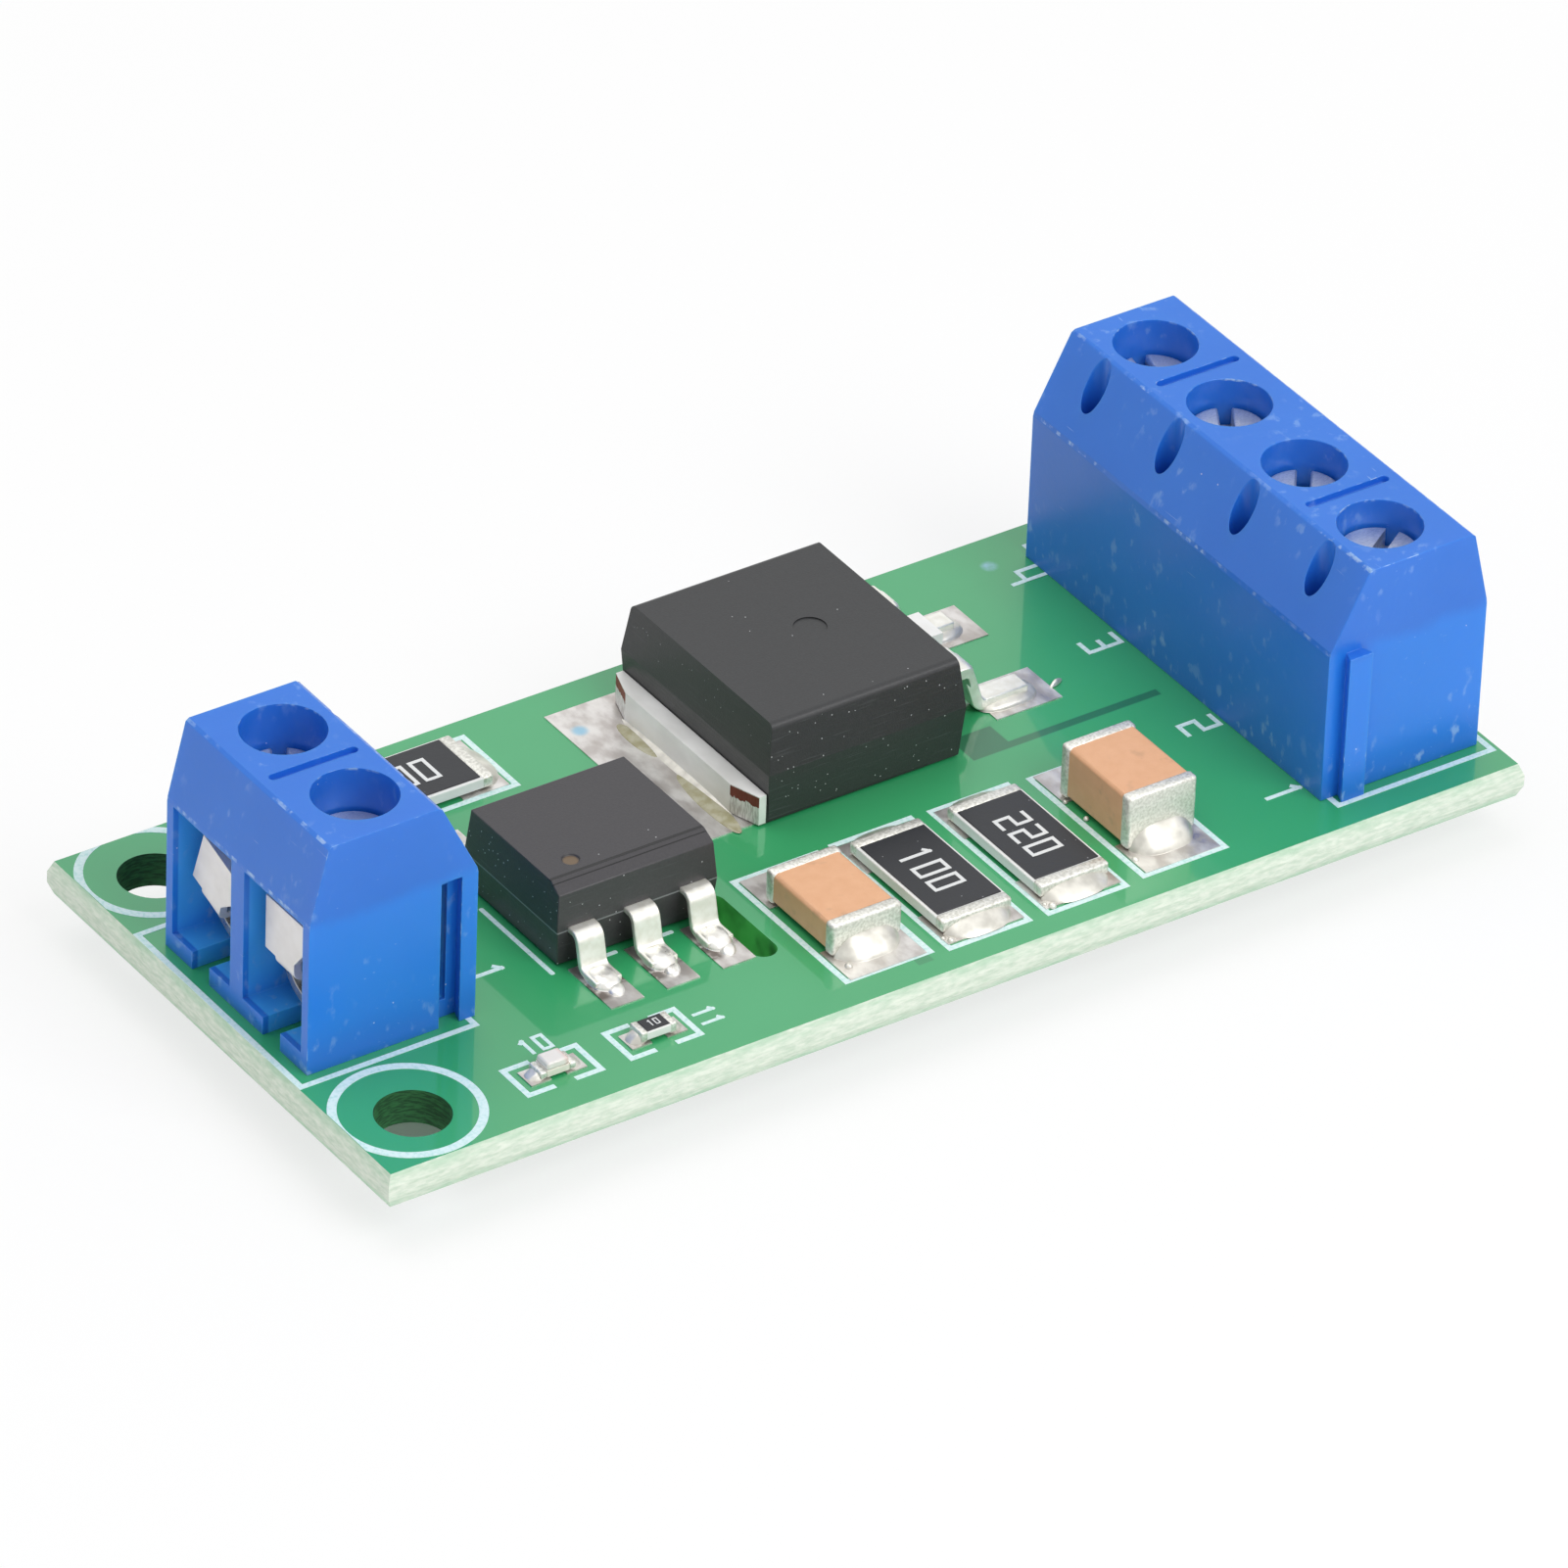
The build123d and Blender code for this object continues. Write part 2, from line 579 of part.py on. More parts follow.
# Chip resistors: a white ceramic substrate, a dark coat on top and plated ends
resistors = [(f"resistor_{number}", x, chip_row_y, 90) for number, x in enumerate(resistor_xs, start=1)]
resistors.append((f"resistor_{len(resistors) + 1}", back_resistor_x, back_resistor_y, 0))
big = (resistor_length, resistor_width, resistor_thickness, resistor_band, coat_margin)
small = (small_length, small_width, small_thickness, small_band, small_coat_margin)
chips = [(*resistor, *big) for resistor in resistors]
chips.append(("small_resistor", small_resistor_x, small_row_y, 0, *small))
for name, x, y, turn, length, width, thickness, band, margin in chips:
    base = Plane((x, y, board_top + seat_height)).rotated((0, 0, turn))
    inner_length = length - 2 * resistor_plating
    inner_thickness = thickness - 2 * resistor_plating
    with BuildPart() as substrate:
        with BuildSketch(base.offset(resistor_plating)):
            Rectangle(inner_length, width)
        extrude(amount=inner_thickness)
    substrate.part.label = f"{name}_substrate"
    export_step(substrate.part, f"parts/{name}_substrate.step")
    with BuildPart() as coat:
        with BuildSketch(base.offset(thickness - resistor_plating)):
            Rectangle(length - 2 * band, width - 2 * margin)
        extrude(amount=coat_thickness)
    coat.part.label = f"{name}_coat"
    export_step(coat.part, f"parts/{name}_coat.step")
    with BuildPart() as ends:
        with BuildSketch(base):
            with GridLocations(length - band, 0, 2, 1):
                Rectangle(band, width)
        extrude(amount=thickness)
        add(substrate.part, mode=Mode.SUBTRACT)
    ends.part.label = f"{name}_end_caps"
    export_step(ends.part, f"parts/{name}_end_caps.step")

# Indicator: a flat base with a terminal at each end and a clear lens over its middle
indicator_frame = Plane((indicator_x, small_row_y, board_top + seat_height))
with BuildPart() as indicator:
    with BuildSketch(indicator_frame):
        Rectangle(small_length - 2 * small_band, small_width)
    extrude(amount=indicator_base_thickness)
indicator.part.label = "indicator_base"
export_step(indicator.part, "parts/indicator_base.step")
with BuildPart() as terminals_pair:
    with BuildSketch(indicator_frame):
        with GridLocations(small_length - small_band, 0, 2, 1):
            Rectangle(small_band, small_width)
    extrude(amount=indicator_base_thickness)
terminals_pair.part.label = "indicator_terminals"
export_step(terminals_pair.part, "parts/indicator_terminals.step")
with BuildPart() as lens:
    with BuildSketch(indicator_frame.offset(indicator_base_thickness)):
        Rectangle(indicator_lens_length, small_width)
    extrude(amount=indicator_lens_height, taper=indicator_lens_draft)
lens.part.label = "indicator_lens"
export_step(lens.part, "parts/indicator_lens.step")

# Solder at the chips: a film under each end and a mound in front of it
mounds = [(x, chip_row_y, 90, capacitor_length, capacitor_band, mound_reach, mound_width, height)
          for x, height in zip(capacitor_xs, capacitor_mound_heights)]
mounds += [(x, y, turn, resistor_length, resistor_band, mound_reach, mound_width, resistor_mound_height)
           for _, x, y, turn in resistors]
mounds += [(x, y, turn, small_length, small_band, small_mound_reach, small_mound_width, small_mound_height)
           for x, y, turn in small_chips]
with BuildPart() as chip_solder:
    for x, y, turn, length, band, reach, width, height in mounds:
        for way in (turn, turn + 180):
            facing = Vector(1, 0, 0).rotate(Axis.Z, way)
            foot = Vector(x, y, board_top + pad_thickness) + facing * (length / 2)
            with BuildSketch(Plane(foot, x_dir=facing, z_dir=facing.cross(Vector(0, 0, 1)))):
                with BuildLine():
                    Polyline((0, height), (0, solder_gap), (-band, solder_gap), (-band, 0), (reach, 0))
                    SagittaArc((reach, 0), (0, height), mound_bulge)
                make_face()
            extrude(amount=width / 2, both=True)
chip_solder.part.label = "chip_solder"
export_step(chip_solder.part, "parts/chip_solder.step")

# Solder round the optocoupler's feet
with BuildPart() as opto_solder:
    foot_length = opto_foot + skirt_end
    foot_middle = opto_width / 2 + foot_start + foot_length / 2
    with BuildSketch(Plane.XY.offset(board_top + pad_thickness)):
        with Locations(*[(x, opto_y + hand * foot_middle) for x, hand in opto_leads]):
            Rectangle(opto_lead_width + 2 * opto_skirt_side, foot_length)
    extrude(amount=skirt_height, taper=skirt_draft)
    add(opto_lead_parts, mode=Mode.SUBTRACT)
opto_solder.part.label = "opto_solder"
export_step(opto_solder.part, "parts/opto_solder.step")

# Solder under the thyristor's tab and round its feet
with BuildPart() as thyristor_solder:
    with BuildSketch(Plane.XY.offset(board_top + pad_thickness)):
        for y in lead_ys:
            foot_from = package_back + lead_shoulder_length + lead_slant
            with Locations((foot_from, y)):
                Rectangle(toe_x + skirt_end - foot_from, lead_foot_width + 2 * lead_skirt_side, align=outward)
    extrude(amount=skirt_height, taper=skirt_draft)
    add(lead_parts, mode=Mode.SUBTRACT)
    with BuildSketch(Plane((thyristor_x + tab_start, thyristor_y, board_top + pad_thickness),
                           x_dir=(-1, 0, 0), z_dir=(0, 1, 0))):
        with BuildLine():
            Polyline((0, tab_mound_height), (0, solder_gap), (-tab_inside, solder_gap), (-tab_inside, 0),
                     (tab_mound_reach, 0))
            SagittaArc((tab_mound_reach, 0), (0, tab_mound_height), -mound_bulge)
        make_face()
    extrude(amount=tab_width / 2 - tab_corner_width, both=True)
thyristor_solder.part.label = "thyristor_solder"
export_step(thyristor_solder.part, "parts/thyristor_solder.step")

# Solder round the terminal pins: a faceted cone each, wide over its land under the board
with BuildPart() as pin_solder:
    with BuildSketch(Plane.XY.offset(board_bottom)):
        with Locations(*pin_places()):
            RegularPolygon(pin_land_diameter / 2, pin_solder_sides)
    extrude(amount=-pin_solder_height)
    for tip in pin_solder.faces().group_by(Axis.Z)[0]:
        chamfer(tip.edges(), pin_solder_slope, pin_solder_height - pin_solder_rim, reference=tip)
    with BuildSketch():
        with Locations(*pin_places()):
            Circle(pin_diameter / 2)
    extrude(amount=board_bottom, mode=Mode.SUBTRACT)
pin_solder.part.label = "pin_solder"
export_step(pin_solder.part, "parts/pin_solder.step")
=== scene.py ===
# %% [markdown]
# # Dressing a thyristor control module
# The CAD model already has every part at its true size: the board, two screw terminals, the
# thyristor, the optocoupler and a row of chips. This script adds what CAD leaves out: soft
# edges, solder, printed ink and the finish of each material. The frame is in metres, with the
# board lying in X and Y, so a length in millimetres is multiplied by MM.

import json
import math

import bmesh
import bpy
from mathutils import Matrix, Quaternion, Vector

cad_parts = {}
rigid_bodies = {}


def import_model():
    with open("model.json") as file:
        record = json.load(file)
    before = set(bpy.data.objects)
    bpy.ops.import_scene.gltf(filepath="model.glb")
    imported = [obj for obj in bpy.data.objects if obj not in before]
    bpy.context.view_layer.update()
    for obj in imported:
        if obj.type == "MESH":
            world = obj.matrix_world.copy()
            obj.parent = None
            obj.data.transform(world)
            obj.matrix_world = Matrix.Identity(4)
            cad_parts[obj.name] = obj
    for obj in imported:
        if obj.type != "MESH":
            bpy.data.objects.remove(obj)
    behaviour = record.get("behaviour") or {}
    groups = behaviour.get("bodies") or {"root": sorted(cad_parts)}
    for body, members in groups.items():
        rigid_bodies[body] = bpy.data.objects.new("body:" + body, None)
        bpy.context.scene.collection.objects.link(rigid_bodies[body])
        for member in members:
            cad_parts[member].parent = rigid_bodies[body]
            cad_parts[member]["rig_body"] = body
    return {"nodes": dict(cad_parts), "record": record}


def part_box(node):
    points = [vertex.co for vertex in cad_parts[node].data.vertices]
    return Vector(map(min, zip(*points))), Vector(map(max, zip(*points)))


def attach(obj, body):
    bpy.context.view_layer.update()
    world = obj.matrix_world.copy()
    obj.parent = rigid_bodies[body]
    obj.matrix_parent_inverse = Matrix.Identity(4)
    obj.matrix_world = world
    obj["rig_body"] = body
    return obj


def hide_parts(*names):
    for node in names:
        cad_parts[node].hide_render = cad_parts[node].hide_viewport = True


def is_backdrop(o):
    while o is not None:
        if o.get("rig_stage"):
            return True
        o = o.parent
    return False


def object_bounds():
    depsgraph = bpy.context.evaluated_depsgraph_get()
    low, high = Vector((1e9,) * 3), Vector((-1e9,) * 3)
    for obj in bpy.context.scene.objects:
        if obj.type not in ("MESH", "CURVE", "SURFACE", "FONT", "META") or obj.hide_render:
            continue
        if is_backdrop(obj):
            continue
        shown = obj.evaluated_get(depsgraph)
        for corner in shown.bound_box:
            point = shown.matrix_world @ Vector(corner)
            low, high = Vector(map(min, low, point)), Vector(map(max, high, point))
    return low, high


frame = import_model()
cad_low, cad_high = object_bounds()
MM = 0.001
print("CAD box in mm:", [round(side / MM, 2) for side in cad_high - cad_low])

# %% [markdown]
# ## Where things are
# Heights and most places are read from the CAD nodes, so the dressing follows the part when
# its sizes change. The top of the board is the top of its own node, and the lands lie on it.
# Places that only the print and the stray solder have are given in millimetres.

# %% Measures from the CAD
def at(x, y, z=0.0):
    """A point given in millimetres."""
    return Vector((x, y, z)) * MM


def middle(node):
    """The middle of a CAD node's box."""
    low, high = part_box(node)
    return (low + high) / 2


board_low, board_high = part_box("circuit_board")
board_top = board_high.z
land_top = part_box("tinned_pads")[1].z
slot_of = {part["node"]: part["material_slot"] for part in frame["record"]["subparts"]}
body_of = {node: placed["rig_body"] for node, placed in frame["nodes"].items()}
print("board top", round(board_top / MM, 3), "land top", round(land_top / MM, 3))

# %% [markdown]
# ## The camera
# The photograph was taken with a long lens from about half a metre, above the control end.
# A long lens keeps parallel edges nearly parallel, which is why product photographs use one.
# The camera's place was solved from the board's corners, and it is rolled by about two degrees.

# %% Camera
CAMERA_PLACE = at(-262.0917, -369.7241, 315.3790)
CAMERA_TARGET = at(-9.76738, -13.19167, 15.94794)
CAMERA_ROLL = math.radians(2.3006)
camera = bpy.data.objects.new("photo_camera", bpy.data.cameras.new("photo_camera"))
bpy.context.scene.collection.objects.link(camera)
camera.data.sensor_width = 36
camera.data.lens = 327.947
camera.data.clip_start, camera.data.clip_end = 0.01, 20
camera.location = CAMERA_PLACE
camera.rotation_mode = "QUATERNION"
facing_target = (CAMERA_TARGET - CAMERA_PLACE).to_track_quat("-Z", "Y")
camera.rotation_quaternion = facing_target @ Quaternion((0, 0, 1), CAMERA_ROLL)
bpy.context.scene.camera = camera
bpy.context.scene.view_settings.view_transform = "Standard"
print("camera distance in mm:", round((CAMERA_TARGET - CAMERA_PLACE).length / MM, 1))

# %% [markdown]
# ## Shader maths
# A Blender material is a graph, and wiring it by hand hides the idea behind it. The small
# class Signal wraps an output socket, so that a formula such as 1 - mask * 0.5 adds its own
# Math nodes.

# %% Signals
class Signal:
    """An output socket that can be used like a number."""

    def __init__(self, finish, socket):
        self.finish, self.socket = finish, socket

    def maths(self, operation, *others):
        return self.finish.node("ShaderNodeMath", {"operation": operation},
                                dict(enumerate((self, *others))))

    def __add__(self, other):
        return self.maths("ADD", other)

    def __mul__(self, other):
        return self.maths("MULTIPLY", other)

    def __sub__(self, other):
        return self.maths("SUBTRACT", other)

    def __rsub__(self, other):
        return self.maths("MULTIPLY", -1) + other

    def __gt__(self, limit):
        return self.maths("GREATER_THAN", limit)

    def __lt__(self, limit):
        return self.maths("LESS_THAN", limit)

    def size(self):
        """The number without its sign."""
        return self.maths("ABSOLUTE")

    def most(self, other):
        """The larger of two numbers."""
        return self.maths("MAXIMUM", other)

    def rise(self, low, high):
        """0 below low, 1 above high and a smooth ramp between them."""
        return self.finish.node("ShaderNodeMapRange", {"interpolation_type": "SMOOTHSTEP"},
                                {"Value": self, "From Min": low, "From Max": high})


print("signals ready")

# %% [markdown]
# ## A finish in the making
# Finish is a material being made round one Principled shader. Its method node adds any other
# node from its type, its settings and what goes into its sockets. Every pattern reads Object
# coordinates, so it stays on the part from any side and at its true size. Colours are written
# as they look on screen, and ink turns them into the linear light that Blender works in.

# %% Finishes
def ink(red, green, blue):
    """A colour given as it looks on screen, from 0 to 255, as Blender's linear values."""
    def linear(level):
        level /= 255
        return level / 12.92 if level <= 0.04045 else ((level + 0.055) / 1.055) ** 2.4
    return (linear(red), linear(green), linear(blue), 1)


class Finish:
    """A material being made, round one Principled shader."""

    def __init__(self, name, **constants):
        self.material = bpy.data.materials.new(name)
        self.material.use_nodes = True
        self.tree = self.material.node_tree
        self.shader = self.tree.nodes["Principled BSDF"]
        for socket, value in constants.items():
            self.shader.inputs[socket.replace("_", " ")].default_value = value
        self.place = self.node("ShaderNodeTexCoord", output="Object")
        self.x, self.y, self.z = self.split(self.place)
        facing = self.node("ShaderNodeTexCoord", output="Normal")
        self.nx, self.ny, self.nz = self.split(facing)

    def node(self, kind, settings=None, inputs=None, output=0):
        made = self.tree.nodes.new(kind)
        for key, value in (settings or {}).items():
            setattr(made, key, value)
        for key, value in (inputs or {}).items():
            if isinstance(value, Signal):
                self.tree.links.new(value.socket, made.inputs[key])
            else:
                made.inputs[key].default_value = value
        return Signal(self, made.outputs[output])

    def split(self, vector):
        return [self.node("ShaderNodeSeparateXYZ", {}, {0: vector}, axis) for axis in range(3)]

    def noise(self, grain, detail=3, stretch=(1, 1, 1)):
        """Soft noise from 0 to 1 with spots about grain millimetres wide."""
        place = self.node("ShaderNodeVectorMath", {"operation": "MULTIPLY"},
                          {0: self.place, 1: stretch})
        return self.node("ShaderNodeTexNoise", {},
                         {"Vector": place, "Scale": 1 / (grain * MM), "Detail": detail})

    def specks(self, spacing, radius, share):
        """Small round specks of a radius in millimetres, in a share of cells spacing apart."""
        cells = {"Vector": self.place, "Scale": 1 / (spacing * MM)}
        near = self.node("ShaderNodeTexVoronoi", {}, cells, "Distance") < radius / spacing
        chance = self.split(self.node("ShaderNodeTexVoronoi", {}, cells, "Color"))[0] < share
        return near * chance

    def window(self, x_from, x_to, y_from, y_to, soft=0.05):
        """1 inside a rectangle of the board, in millimetres, and 0 outside it."""
        edges = [self.x.rise((x_from - soft) * MM, (x_from + soft) * MM),
                 self.x.rise((x_to + soft) * MM, (x_to - soft) * MM),
                 self.y.rise((y_from - soft) * MM, (y_from + soft) * MM),
                 self.y.rise((y_to + soft) * MM, (y_to - soft) * MM)]
        return edges[0] * edges[1] * edges[2] * edges[3]

    def spot(self, x, y, radius, soft=0.1):
        """1 within a radius of a point of the board, in millimetres, fading over soft."""
        across, along = self.x - x * MM, self.y - y * MM
        reach = (across * across + along * along).maths("SQRT")
        return reach.rise((radius + soft) * MM, (radius - soft) * MM)

    def band(self, axis, place, half_width):
        """1 where a coordinate lies within half a width, in millimetres, of a place in metres."""
        return (axis - place).size() < half_width * MM

    def mix(self, share, first, second):
        """The first colour where share is 0 and the second where it is 1."""
        return self.node("ShaderNodeMix", {"data_type": "RGBA"},
                         {0: share, 6: first, 7: second}, 2)

    def feed(self, socket, signal):
        self.tree.links.new(signal.socket, self.shader.inputs[socket])

    def bumps(self, height, depth, strength=1.0):
        """Relief of a height from 0 to 1 that is depth millimetres deep."""
        self.feed("Normal", self.node("ShaderNodeBump", {}, {
            "Height": height, "Distance": depth * MM, "Strength": strength}))


print("finishes can be made")

# %% [markdown]
# ## White all round
# A product photograph on white has white on every side. The world looks white to the camera,
# and to shiny metal that mirrors it, while it lights the part at a plainer level: Light Path
# tells which kind of ray is asking.

# %% World
AMBIENT = 0.55
world = bpy.context.scene.world or bpy.data.worlds.new("studio")
bpy.context.scene.world = world
world.use_nodes = True
sky = world.node_tree
rays = sky.nodes.new("ShaderNodeLightPath")


def either(first, second):
    """The larger of two sockets in the world's graph."""
    larger = sky.nodes.new("ShaderNodeMath")
    larger.operation = "MAXIMUM"
    sky.links.new(first, larger.inputs[0])
    sky.links.new(second, larger.inputs[1])
    return larger.outputs[0]


seen = either(either(rays.outputs["Is Camera Ray"], rays.outputs["Is Glossy Ray"]),
              rays.outputs["Is Transmission Ray"])
level = sky.nodes.new("ShaderNodeMapRange")
level.inputs["To Min"].default_value = AMBIENT
sky.links.new(seen, level.inputs["Value"])
background = sky.nodes["Background"]
background.inputs["Color"].default_value = (1, 1, 1, 1)
sky.links.new(level.outputs[0], background.inputs["Strength"])
print("world lights at", AMBIENT)

# %% [markdown]
# ## The floor
# The part stands on a plain white floor. A wholly matt floor would look grey, and one that
# only glows would lose the shadow that tells where the part stands. So the camera sees mostly
# a glow and a share of matt white paint, and the shadow stays pale. Under the board the glow
# fades, as it does in the narrow dark gap under a real board.

# %% Floor
GLOW = 0.75
FADE_UNDER_BOARD = 0.9
floor_shape = bmesh.new()
bmesh.ops.create_grid(floor_shape, x_segments=1, y_segments=1, size=3)
floor = bpy.data.objects.new("floor", bpy.data.meshes.new("floor"))
floor_shape.to_mesh(floor.data)
floor_shape.free()
bpy.context.scene.collection.objects.link(floor)
floor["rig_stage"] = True

floor_paint = Finish("floor_paint", Roughness=1.0, Specular_IOR_Level=0.0)
floor_paint.shader.inputs["Base Color"].default_value = (0.93, 0.93, 0.93, 1)
under = floor_paint.window(-23.6, 23.6, -9.0, 9.0, 0.7)
asking = floor_paint.node("ShaderNodeLightPath", output="Is Camera Ray")
glow = floor_paint.node("ShaderNodeEmission")
matt = Signal(floor_paint, floor_paint.shader.outputs[0])
share = asking * GLOW * (1 - under * FADE_UNDER_BOARD)
both = floor_paint.node("ShaderNodeMixShader", {}, {0: share, 1: matt, 2: glow})
surface = floor_paint.tree.nodes["Material Output"].inputs["Surface"]
floor_paint.tree.links.new(both.socket, surface)
floor.data.materials.append(floor_paint.material)
print("floor glows by", GLOW)

# %% [markdown]
# ## Two soft lamps
# One wide lamp in front and to the right lights the long front edge and the end faces, and one
# overhead lights the tops. Both are several times as wide as the part is long, so that no
# shadow has a hard edge.

# %% Lamps
def softbox(name, direction, distance, width, watts):
    """A square lamp that hangs in a direction from the part and faces it."""
    lamp = bpy.data.objects.new(name, bpy.data.lights.new(name, "AREA"))
    lamp.data.size = width
    lamp.data.energy = watts
    lamp.location = Vector(direction).normalized() * distance
    lamp.rotation_mode = "QUATERNION"
    lamp.rotation_quaternion = (-lamp.location).to_track_quat("-Z", "Y")
    bpy.context.scene.collection.objects.link(lamp)


softbox("front_softbox", (0.25, -0.85, 0.9), 0.6, 0.35, 1.7)
softbox("top_softbox", (-0.1, 0.25, 1.0), 0.6, 0.4, 0.9)
print("two softboxes")

# %% [markdown]
# ## Green solder mask
# The board is glass fibre and resin, with copper on both faces under a coat of clear green
# lacquer. Over copper the green is lighter, and where the copper was etched away it is
# darker, as in the narrow gap that keeps the mains tracks apart. The lacquer is as smooth as
# glass, so it mirrors the terminals faintly: a clear coat over a matt base does that.

# %% Lacquer over copper and over bare laminate
COAT = 0.9
mask = Finish("green_solder_mask", Roughness=0.45, Coat_Weight=COAT, Coat_Roughness=0.05,
              Emission_Strength=1.0)
lacquer = mask.mix(mask.noise(6, 2), ink(44, 158, 96), ink(54, 168, 106))
etched = mask.window(9.6, 16.9, -0.75, -0.35, 0.04).most(mask.window(8.0, 9.9, -0.75, 0.9, 0.04))
etched = etched.most(mask.window(-1.6, -0.9, -11.0, -3.4, 0.04) * 0.5)
lacquer = mask.mix(etched * 0.8, lacquer, ink(14, 94, 62))
pale_drop = mask.spot(16.27, 10.16, 0.3, 0.15) * mask.noise(0.3, 2)
lacquer = mask.mix(pale_drop, lacquer, ink(150, 200, 225))
lacquer = mask.mix(mask.specks(1.3, 0.03, 0.12) * 0.7, lacquer, ink(214, 232, 222))
print("lacquer ready")

# %% [markdown]
# ## Cut edges and drilled holes
# The board was snapped from a panel along a scored line, so its edge shows bare laminate: pale,
# with torn fibres, and greener where the score slopes: on the upper slope that is lacquer, and on
# the lower slope it is painted shade. The drilled and routed holes go through the same laminate,
# and their walls are painted dark green: the green is the lacquer that ran in, and the dark is
# painted shade inside the holes. The weave's layers show as thin lines. The routed slot beside
# the optocoupler is smoother and lighter: daylight seeps through the laminate there, which a
# faint glow stands for.

# %% Edges of the board
fibre = mask.noise(0.16, 5, (0.35, 0.35, 1.4))
torn = mask.noise(0.6, 5, (0.35, 0.35, 2.0))
laminate = mask.mix(fibre.rise(0.25, 0.75), ink(202, 220, 200), ink(232, 240, 226))
# Both slopes of the score are painted greener: lacquer on the upper one, painted shade on the
# lower one.
scored_lacquer_and_shade = (mask.z - (board_high.z + board_low.z) / 2).size().rise(0.25 * MM, 0.72 * MM)
laminate = mask.mix(scored_lacquer_and_shade * torn.rise(0.3, 0.65) * 0.6, laminate, ink(158, 208, 172))
layers = mask.noise(0.12, 3, (0.3, 0.3, 1.6))
# Painted shade: the walls of the holes are painted dark green.
hole_walls_in_shade = mask.mix(layers.rise(0.4, 0.6), ink(20, 72, 38), ink(44, 108, 60))
routed = mask.window(-6.8, -5.3, -7.8, -2.7, 0.02)
slot_wall = mask.mix(mask.noise(1.2, 2).rise(0.35, 0.65), ink(26, 100, 42), ink(50, 134, 66))
hole_walls_in_shade = mask.mix(routed, hole_walls_in_shade, slot_wall)
inside = mask.window(-25.9, 25.9, -11.8, 11.8, 0.02)
edge = mask.nz.size() < 0.9
mask.feed("Base Color", mask.mix(edge, lacquer, mask.mix(inside, laminate, hole_walls_in_shade)))
daylight = edge * routed * mask.noise(1.6, 2).rise(0.3, 0.6)
mask.feed("Emission Color", mask.mix(daylight, ink(0, 0, 0), ink(34, 100, 40)))
mask.feed("Roughness", edge * 0.35 + 0.4)
mask.feed("Coat Weight", (1 - edge) * COAT)
fibres = edge * (1 - inside) * (fibre + torn) * 0.4
mask.bumps(fibres + (1 - edge) * mask.noise(2.5, 1) * 0.2, 0.07, 0.6)
print("board finish ready")

# %% [markdown]
# ## Blue polyamide
# The terminals are moulded from a glossy blue plastic that lets some light in. Where the wall
# is thin, in front of the hollow cells, it glows paler and more like the sky: a little
# subsurface scattering does part of that, and a paler colour painted there is painted light.
# Near the board that painted glow is painted darker again, as painted shade, and the insides of
# the cells are painted bright azure, as painted light. Handling leaves pale scuffs, most of
# them low on the wall, and chips the sharp edges nearly white.

# %% Blue plastic finish
WALL_TOP = board_top + 6.75 * MM
blue = Finish("blue_polyamide", Roughness=0.33, Subsurface_Weight=0.2, Subsurface_Scale=0.0014)
blue.shader.inputs["Subsurface Radius"].default_value = (0.2, 0.6, 1.0)
dye_and_painted_light = blue.mix(blue.noise(4, 3), ink(34, 110, 210), ink(46, 122, 222))
uneven = blue.z + (blue.noise(1.5, 2) - 0.5) * 0.8 * MM
# Painted light: the thin wall in front of the cells is painted a paler azure.
painted_glow_of_thin_wall = (blue.ny.size() > 0.5) * uneven.rise(WALL_TOP + 0.35 * MM, WALL_TOP - 0.45 * MM)
dye_and_painted_light = blue.mix(painted_glow_of_thin_wall * 0.6, dye_and_painted_light, ink(34, 134, 236))
foot_shade = painted_glow_of_thin_wall * blue.z.rise(board_top + 2.4 * MM, board_top) * 0.45
dye_and_painted_light = blue.mix(foot_shade, dye_and_painted_light, ink(24, 92, 190))

corners = (blue.ny.size() > 0.2) * (blue.ny.size() < 0.97)
rim = blue.band(blue.z, WALL_TOP, 0.07).most(blue.band(blue.z, cad_high.z - 0.05 * MM, 0.045))
worn = rim * (blue.ny.size() < 0.97)
for low, high in (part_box("control_terminal_housing"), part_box("mains_terminal_housing")):
    for end_wall in (low.y, high.y):
        worn = worn.most(blue.band(blue.y, end_wall, 0.1) * corners)
    low, high = low / MM, high / MM
    # Painted light: the inside of each cell is painted bright azure.
    painted_light_in_cell = blue.window(low.x + 0.25, high.x - 0.25, low.y + 0.75, high.y - 0.75)
    dye_and_painted_light = blue.mix(painted_light_in_cell * (blue.z < WALL_TOP - 0.1 * MM) * 0.85, dye_and_painted_light, ink(70, 174, 255))

low_wall = blue.z.rise(board_top + 3.5 * MM, board_top + 0.5 * MM)
handled = blue.noise(4, 2).rise(0.47, 0.64) * 0.8 + low_wall * 0.7
scuffs = blue.noise(0.5, 6, (1, 1, 0.6)).rise(0.57, 0.7) * handled
dye_and_painted_light = blue.mix(scuffs * 0.4, dye_and_painted_light, ink(160, 196, 236))
scratches = blue.noise(0.22, 2, (1, 0.12, 3)).rise(0.72, 0.78) * blue.noise(3, 2).rise(0.5, 0.6)
dye_and_painted_light = blue.mix(scratches * 0.4, dye_and_painted_light, ink(170, 205, 240))
dye_and_painted_light = blue.mix(blue.specks(0.9, 0.035, 0.2) * 0.6, dye_and_painted_light, ink(225, 232, 240))
chipped = worn * blue.noise(0.35, 5).rise(0.47, 0.66) * blue.noise(3, 1).rise(0.38, 0.62)
dye_and_painted_light = blue.mix(chipped * 0.7, dye_and_painted_light, ink(176, 204, 240))
blue.feed("Base Color", dye_and_painted_light)
blue.feed("Roughness", scuffs * 0.25 + blue.noise(0.8, 3) * 0.1 + 0.27)
blue.bumps(blue.noise(0.25, 4) + scratches * 0.6, 0.012, 0.4)
print("blue plastic ready")
